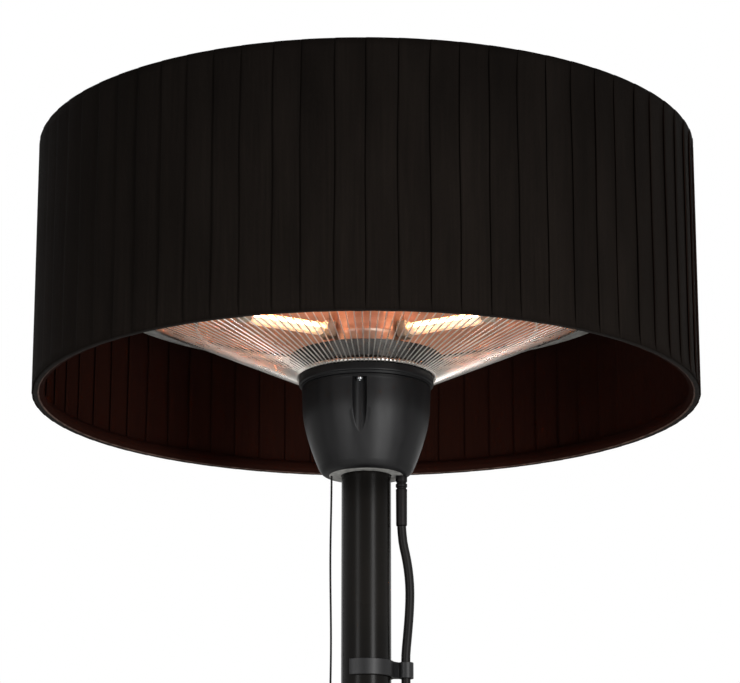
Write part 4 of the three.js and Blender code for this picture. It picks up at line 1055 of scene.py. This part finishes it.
fade_and_painted_shade = add_node(
    tree,
    "ShaderNodeMix",
    {0: dull.outputs[0], 6: dyed.outputs[2], 7: colour("#090706")},
    data_type="RGBA",
)
weave_bump = add_node(tree, "ShaderNodeBump", {"Height": weave.outputs[0], "Distance": 0.00025})
slub_bump = add_node(
    tree,
    "ShaderNodeBump",
    {"Height": slubs.outputs[0], "Distance": 0.0003, "Normal": weave_bump.outputs[0]},
)
cloth_gloss = add_node(
    tree, "ShaderNodeMapRange", {"Value": slubs.outputs[0], "To Min": 0.62, "To Max": 0.85}
)
tree.links.new(fade_and_painted_shade.outputs[2], shader.inputs["Base Color"])
tree.links.new(cloth_gloss.outputs[0], shader.inputs["Roughness"])
tree.links.new(slub_bump.outputs[0], shader.inputs["Normal"])

# The cloth's inner face: the same weave in a reddish brown, partly its own tint and partly a painted glow
# of the tubes' light.
glow_tinted_lining = pleated_cloth.copy()
glow_tinted_lining.name = "scorched_polyester"
for mix, place, painted_brown in ((fade_and_painted_shade, 7, "#22100b"), (dyed, 6, "#180b08"), (dyed, 7, "#25110c")):
    glow_tinted_lining.node_tree.nodes[mix.name].inputs[place].default_value = colour(painted_brown)

SHADE_RADIUS = 257.5
PLEATS = 72
shade_low, shade_high = heights("shade_fabric")
SHADE_HEIGHT = shade_high - shade_low
ROWS = 28
# One pleat in plan: share of its 5 degrees, and depth below the drum's radius.
PLEAT = [
    (0.08, 2.2),
    (0.13, 2.05),
    (0.15, 1.75),
    (0.12, 1.4),
    (0.06, 1.1),
    (0.015, 0.8),
    (0.0, 0.45),
    (0.015, 0.15),
    (0.06, 0.0),
    (0.18, 0.1),
    (0.4, 0.4),
    (0.65, 0.9),
    (0.88, 1.5),
    (1.0, 1.9),
]
# How far from a hem, in millimetres, its press flattens the pleats, and its glue holds the folds.
PRESSED_FOR, HELD_FOR = 7, 25
bows = [[dice.uniform(-1, 1) for _ in range(4)] for _ in range(PLEATS)]
cloth_points = []
for row in range(ROWS + 1):
    up = row / ROWS
    from_hem = min(up, 1 - up) * SHADE_HEIGHT
    pressed = 1 - 0.82 * math.exp(-from_hem / PRESSED_FOR)
    free = 1 - math.exp(-from_hem / HELD_FOR)
    for pleat, (lean, phase, puff, shift) in enumerate(bows):
        bow = 0.05 * shift + free * (
            0.035 * lean * math.sin(math.pi * up + phase) + 0.016 * math.sin(8 * up + 3 * phase)
        )
        for share, depth in PLEAT:
            angle = 2 * math.pi * (pleat + share + bow * (1 - share)) / PLEATS
            lift = 0.4 * free * puff * math.sin(math.pi * up) * (1 - abs(2 * share - 1))
            radius = SHADE_RADIUS - depth * pressed - 0.3 - lift
            cloth_points.append((*at_angle(radius, angle), shade_low + up * SHADE_HEIGHT))
width = PLEATS * len(PLEAT)
cloth_faces = row_faces(ROWS + 1, width, closed=False)
middle_row = [Vector(p) for p in cloth_points[width * (ROWS // 2) : width * (ROWS // 2 + 1)]]
arc = [0.0]
for a, b in zip(middle_row, middle_row[1:] + middle_row[:1]):
    arc.append(arc[-1] + (b - a).length * MM)
shade = new_piece("shade_cloth", cloth_points, cloth_faces, pleated_cloth, crease=180)
cloth_uv = shade.data.uv_layers.new(name="cloth")
for face in shade.data.polygons:
    last = max(shade.data.loops[l].vertex_index % width for l in face.loop_indices) == width - 1
    for loop in face.loop_indices:
        vertex = shade.data.loops[loop].vertex_index
        place = vertex % width
        if last and place == 0:
            place = width
        cloth_uv.data[loop].uv = (arc[place], vertex // width / ROWS * SHADE_HEIGHT * MM)
thicken = shade.modifiers.new("thickness", "SOLIDIFY")
thicken.thickness = 0.5 * MM
thicken.offset = 0
evaluated = shade.evaluated_get(bpy.context.evaluated_depsgraph_get())
thick_cloth = bpy.data.meshes.new_from_object(evaluated)
shade.modifiers.clear()
shade.data = thick_cloth
# The inner faces take the lining, whose brown is partly a painted glow.
second_finish(shade, glow_tinted_lining, lambda face: face.normal.xy.dot(face.center.xy) < 0)
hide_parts("shade_fabric")

# The turned-in edge: the same cloth, drawn tight over the ring's wire and a little paler for it.
binding, tree, shader = new_finish("cloth_binding", "pleated_black_fabric", Specular_IOR_Level=0.1)
mottle(tree, shader, ("#0f0c0a", "#191512"), (0.6, 0.75), grain=0.9, height=0.12, cloud=6)

# The crease where the cloth turns in: a pale brown painted highlight that rims the drum with a thin line.
crease_highlight_cloth, tree, shader = new_finish("rubbed_crease", "pleated_black_fabric", Specular_IOR_Level=0.1)
mottle(tree, shader, ("#352823", "#5e4c44"), (0.6, 0.75), grain=0.9, height=0.12, cloud=6)

CREASE_RADIUS = SHADE_RADIUS - 5.2
# The hem's section, as distances from the drum's face or the ring's middle and up from the edge.
OVER_EDGE = [(-1.9, 3), (-1.2, 0.6), (-1.6, -0.1), (-2.6, -0.4), (-4.6, -0.3), (-5.2, 0), (-5.7, 0.4)]
DOWN_BAND = [(-1.6, 1.1), (-2.4, 2.6), (-2.1, 4.2), (-0.6, 6.6), (0.8, 10), (1.3, 9.8), (-0.1, 6.5)]
BEHIND_BAND = [(-1.8, 4.1), (-2.1, 2.6), (-1.4, 1.35), (0, 0.85)]
UNDER_CLOTH = [(-2.4, 0.6), (-2.6, 3)]


def hem(name, edge, towards):
    """The cloth's edge, turned in round the ring and glued down as a band on its inside."""
    rows = [(SHADE_RADIUS + out, up) for out, up in OVER_EDGE]
    rows += [(ring_radius + out, up) for out, up in DOWN_BAND + BEHIND_BAND]
    rows += [(SHADE_RADIUS + out, up) for out, up in UNDER_CLOTH]
    rows = [(radius, edge + towards * up) for radius, up in rows]
    points, faces = turned(rows, 6 * PLEATS)
    ruffled = []
    for x, y, z in points:
        angle = math.atan2(y, x)
        wave = 0.1 * math.sin(PLEATS * angle) + 0.08 * math.sin(5 * angle + 1)
        wave += 0.05 * math.sin(131 * angle)
        radius = math.hypot(x, y)
        ruffled.append((x * (1 + wave / radius), y * (1 + wave / radius), z + 0.3 * wave))
    band = new_piece(name, ruffled, faces, binding, crease=180)
    inner = (CREASE_RADIUS + 0.5) * MM
    # Painted highlight on the crease. The band's inside takes the lining, whose brown is partly a painted
    # glow.
    second_finish(band, crease_highlight_cloth, lambda face: face.center.xy.length < inner)
    second_finish(
        band, glow_tinted_lining, lambda face: face.center.xy.length < inner and abs(face.center.z / MM - edge) >= 0.5
    )
    return band


hems = [hem("shade_lower_hem", shade_low, 1), hem("shade_upper_hem", shade_high, -1)]

# ---------------------------------------------------------------------------------------------
# Strain relief and clips: a ribbed rubber boot where the mains lead leaves the bell, and three
# ABS clips that snap round the pole and hold the lead in an eye.

boot_low, boot_high = heights("cable_boot")
BOOT_X = 27
boot_profile = [(3.7, boot_low), (4.2, boot_low + 0.8), (4.3, boot_high - 12)]
for groove in (boot_high - 9.4, boot_high - 5.2):
    boot_profile += [(4.4, groove - 0.9), (3.6, groove - 0.5), (3.6, groove + 0.5), (4.4, groove + 0.9)]
boot_profile += [(4.4, boot_high), (0.01, boot_high), (0.01, boot_low)]
boot = turn("cable_boot_moulded", soften(boot_profile, 0.3, 2), rubber, facets=48, centre=(BOOT_X, 0))
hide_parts("cable_boot")

CABLE = 7
CABLE_X = 30
CABLE_Y = 3
CLIP_WALL = 2
MOUTH_LIP = 1.2
inner = POLE_RADIUS + 0.3
outer = inner + CLIP_WALL
eye = CABLE / 2 + 0.3 + CLIP_WALL


def bend(radius, degrees, centre=(0, 0)):
    """Points of a clip's outline, at angles in degrees round a centre."""
    return [at_angle(radius, math.radians(angle), centre) for angle in degrees]


clip_outline = bend(inner, range(-119, 120, 7))
clip_outline += bend(outer, [122]) + bend(outer + MOUTH_LIP, [125]) + bend(outer, [119])
clip_outline += bend(outer, range(112, 10, -6))
clip_outline += bend(eye, range(155, -156, -10), (CABLE_X, CABLE_Y))
clip_outline += bend(outer, range(-10, -113, -6))
clip_outline += bend(outer, [-119]) + bend(outer + MOUTH_LIP, [-125]) + bend(outer, [-122])
count = len(clip_outline)
clip_faces = [tuple(reversed(range(count))), tuple(range(count, 2 * count))]
clip_faces += row_faces(2, count, closed=False)
for i in (1, 2, 3):
    clip_points = [(x, y, z) for z in heights(f"cable_clip_{i}") for x, y in clip_outline]
    clip = new_piece(f"cable_clip_{i}_moulded", clip_points, clip_faces, satin_abs)
    edges = clip.modifiers.new("edges", "BEVEL")
    edges.width = 0.4 * MM
    edges.segments = 2
    edges.limit_method = "ANGLE"
    edges.angle_limit = math.radians(40)
    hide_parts(f"cable_clip_{i}")

# ---------------------------------------------------------------------------------------------
# Mains lead: 3.75 m of round rubber flex, 7 mm thick. It runs down the pole through the clips,
# over the base and behind it, where the spare length is wound in a flat coil and tied.

# Rubber-sheathed flex: deep black with a soft shine and the faint lay of its cores.
flex, tree, shader = new_finish("rubber_flex", "black_rubber", Specular_IOR_Level=0.1)
mottle(tree, shader, ("#0d0c0b", "#141211"), (0.38, 0.5), grain=0.9, height=0.02, cloud=30)

ROUTE = [
    (27, 0, 1801.5),
    (28, 0.5, 1789.8),
    (31, 1.5, 1774.8),
    (32.6, 2.2, 1762.8),
    (33.2, 2.8, 1750.8),
    (32.6, 3, 1733.8),
    (31, 3, 1714.8),
    (30, 3, 1703.1),
    (30, 3, 1679.1),
    (30, 3, 1092),
    (30, 3, 1068),
    (30, 3, 412),
    (30, 3, 388),
    (30, 3, 118),
    (30, 3, 82),
    (31.1, 6.5, 65.8),
    (34.3, 16.2, 53.2),
    (38.4, 29, 46.7),
    (48.1, 59, 37.3),
    (57.1, 86.9, 31.4),
    (66.2, 114.9, 28.1),
    (75.2, 142.9, 28.1),
    (90.3, 189.5, 28.1),
    (95.2, 204.7, 24.5),
    (100.2, 219.9, 16.6),
    (105.1, 235.2, 8.6),
    (110, 250.4, 5),
    (110, 274, 5),
]
COIL_X, COIL_Y, COIL_RADIUS, COIL_LOW = 60, 305, 50, 5
COIL_IN, COIL_OUT = 3.25, 3.5
CROSSING = 0.5  # of a turn, in which the coil climbs to its second layer
TURN_STEPS = 48
COIL_PITCH = CABLE + 0.7
PLUG_RADIUS = 18.5


def smooth(x):
    """Eases from 0 to 1."""
    x = min(1, max(0, x))
    return x * x * (3 - 2 * x)


coil_turns = COIL_IN + CROSSING + COIL_OUT
inmost = COIL_RADIUS - COIL_PITCH * COIL_IN
coiled = []
for k in range(int(coil_turns * TURN_STEPS) + 1):
    turn_now = k / TURN_STEPS
    climb = min(1, max(0, (turn_now - COIL_IN) / CROSSING))
    steps_out = max(0, COIL_IN - turn_now) + max(0, turn_now - COIL_IN - CROSSING)
    radius = inmost + COIL_PITCH * steps_out - 3 * math.sin(math.pi * climb)
    lift = (PLUG_RADIUS + 0.3 - COIL_LOW - COIL_PITCH) * smooth((turn_now - coil_turns + 0.25) / 0.25)
    x, y = at_angle(radius, 2 * math.pi * turn_now, (COIL_X, COIL_Y))
    coiled.append(Vector((x, y, COIL_LOW + COIL_PITCH * smooth(climb) + lift)))
final_angle = 2 * math.pi * coil_turns
leaving = Vector((-math.sin(final_angle), math.cos(final_angle), 0))
coiled.append(coiled[-1] + leaving * CABLE)
lead_line = through(ROUTE + [tuple(coiled[0] - Vector((0, CABLE, 0)))], 6) + coiled
mains_lead = tube("mains_lead", lead_line, CABLE / 2, flex, sides=20)
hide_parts("mains_cable", "cable_coil")

# The plug: a moulded rubber body with grip ribs and two plated pins. It lies on the floor.
plug_place = coiled[-1] + leaving * 0.3
PLUG_NECK = 22
PLUG_BODY = 30


def on_plug(points):
    """Sets points made along +Z from the origin at the plug's place, along the lead's end."""
    across = leaving.cross(Vector((0, 0, 1)))
    return [plug_place + across * x + Vector((0, 0, 1)) * y + leaving * z for x, y, z in points]


plug_profile = [(0.01, 0), (5, 0)]
for k in range(5):
    rib, start = 5.2 + 0.15 * k, 2 + 3.2 * k
    plug_profile += [(rib, start), (rib, start + 1.4), (rib - 0.8, start + 1.8), (rib - 0.8, start + 2.8)]
PLUG = [(6, -4), (11.5, 0), (14.8, 13.5), (PLUG_RADIUS, 18), (PLUG_RADIUS, PLUG_BODY), (0.01, PLUG_BODY)]
plug_profile += raised(PLUG, PLUG_NECK)
plug_points, plug_faces = turned(soften(plug_profile, 1.6, 4), 96)
plug = new_piece("plug_moulded", on_plug(plug_points), plug_faces, rubber)
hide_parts("plug_body")
PIN_LENGTH = 19
PIN_RADIUS = 2.4
PIN = [(0.01, 0), (PIN_RADIUS, 0), (PIN_RADIUS, PIN_LENGTH), (0.01, PIN_LENGTH)]
pin_outline = soften(raised(PIN, PLUG_NECK + PLUG_BODY + 0.3), 1.2)
for i, sideways in ((1, -9.5), (2, 9.5)):
    pin_points, pin_faces = turned(pin_outline, 32, (sideways, 0))
    pin = new_piece(f"plug_pin_{i}_plated", on_plug(pin_points), pin_faces, zinc_plate)
    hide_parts(f"plug_pin_{i}")

# The tie: a flat strap of nylon, 12 mm wide, closed round the whole bundle.
TIE_WIDTH = 12
TIE = 1.2
half_tie = TIE_WIDTH / 2
near = math.sqrt((inmost - 3 - CABLE / 2) ** 2 - half_tie**2) - 0.3
far = COIL_RADIUS + COIL_PITCH / 2 + CABLE / 2 + 0.3
bottom, top = COIL_LOW - CABLE / 2 - 0.3, COIL_LOW + COIL_PITCH + CABLE / 2 + 0.3
tie_angle = math.pi * 1.25
tie_points = []
for across, thick in ((-half_tie, 0), (-half_tie, TIE), (half_tie, TIE), (half_tie, 0)):
    loop = [(near - thick, bottom - thick), (far + thick, bottom - thick)]
    loop += [(far + thick, top + thick), (near - thick, top + thick)]
    loop = soften(loop, CABLE / 2 + thick, 6)
    for out, height in loop:
        x, y = at_angle(out, tie_angle, (COIL_X, COIL_Y))
        tie_points.append((*at_angle(across, tie_angle + math.pi / 2, (x, y)), height))
tie_faces = row_faces(4, len(loop))
tie = new_piece("coil_strap", tie_points, tie_faces, nylon, crease=40)
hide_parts("coil_tie")

# ---------------------------------------------------------------------------------------------
# Studio: a pale floor, a white surround that chrome and glass also see, and soft light from the
# right and the left. The camera stands low and looks up under the shade.

floor_mesh = bpy.data.meshes.new("floor")
FLOOR_REACH = 40  # metres
FLOOR_GLOW = 0.72
corners = [(-FLOOR_REACH, -FLOOR_REACH), (FLOOR_REACH, -FLOOR_REACH)]
corners += [(FLOOR_REACH, FLOOR_REACH), (-FLOOR_REACH, FLOOR_REACH)]
floor_mesh.from_pydata([(x, y, 0) for x, y in corners], [], [(0, 1, 2, 3)])
floor = bpy.data.objects.new("floor", floor_mesh)
bpy.context.scene.collection.objects.link(floor)
paper = bpy.data.materials.new("studio_paper")
paper.use_nodes = True
tree = paper.node_tree
tree.nodes.clear()
sheet_shader = add_node(
    tree,
    "ShaderNodeBsdfPrincipled",
    {"Base Color": colour("#e9e8e6"), "Roughness": 0.9, "Specular IOR Level": 0.1},
)
# To the camera the floor is the white of the surround, darker only where the object shades it.
to_camera = add_node(
    tree,
    "ShaderNodeMath",
    {0: add_node(tree, "ShaderNodeLightPath").outputs["Is Camera Ray"], 1: FLOOR_GLOW},
    operation="MULTIPLY",
)
white = add_node(tree, "ShaderNodeEmission", {"Strength": 1.0})
white_sheet = add_node(
    tree,
    "ShaderNodeMixShader",
    {0: to_camera.outputs[0], 1: sheet_shader.outputs[0], 2: white.outputs[0]},
)
add_node(tree, "ShaderNodeOutputMaterial", {"Surface": white_sheet.outputs[0]})
floor_mesh.materials.append(paper)

world = bpy.data.worlds.new("studio")
bpy.context.scene.world = world
world.use_nodes = True
tree = world.node_tree
tree.nodes.clear()
rays = add_node(tree, "ShaderNodeLightPath").outputs
seen = rays["Is Camera Ray"]
for kind in ("Is Glossy Ray", "Is Transmission Ray"):
    seen = add_node(tree, "ShaderNodeMath", {0: seen, 1: rays[kind]}, operation="MAXIMUM").outputs[0]
surround = add_node(tree, "ShaderNodeBackground", {"Color": (1, 1, 1, 1), "Strength": 1.0})
fill = add_node(tree, "ShaderNodeBackground", {"Color": (1, 1, 1, 1), "Strength": 0.25})
both = add_node(tree, "ShaderNodeMixShader", {0: seen, 1: fill.outputs[0], 2: surround.outputs[0]})
add_node(tree, "ShaderNodeOutputWorld", {"Surface": both.outputs[0]})


def soft_box(name, place, width, height, power):
    """An upright soft box: a tall area light that faces the pole."""
    data = bpy.data.lights.new(name, "AREA")
    data.shape = "RECTANGLE"
    data.size = width
    data.size_y = height
    data.energy = power
    light = bpy.data.objects.new(name, data)
    light.location = place
    facing = Vector((place[0], place[1], 0))
    light.rotation_euler = facing.to_track_quat("Z", "Y").to_euler()
    bpy.context.scene.collection.objects.link(light)


soft_box("box_right", (1.76, -2.78, 1.6), 0.8, 2.9, 132)
soft_box("box_left", (-2.1, -2.55, 1.7), 0.8, 2.7, 46)

LENS = 142.8
CAMERA_BACK, CAMERA_HEIGHT = 2.1997, 1.3370
CAMERA_UP, CAMERA_SIDE = 0.2711, -0.0013  # radians
camera_data = bpy.data.cameras.new("photograph")
camera_data.sensor_width = 36
camera_data.lens = LENS
camera = bpy.data.objects.new("photograph", camera_data)
camera.location = (0, -CAMERA_BACK, CAMERA_HEIGHT)
camera.rotation_euler = (math.pi / 2 + CAMERA_UP, 0, CAMERA_SIDE)
bpy.context.scene.collection.objects.link(camera)
bpy.context.scene.camera = camera
bpy.context.scene.view_settings.view_transform = "Standard"
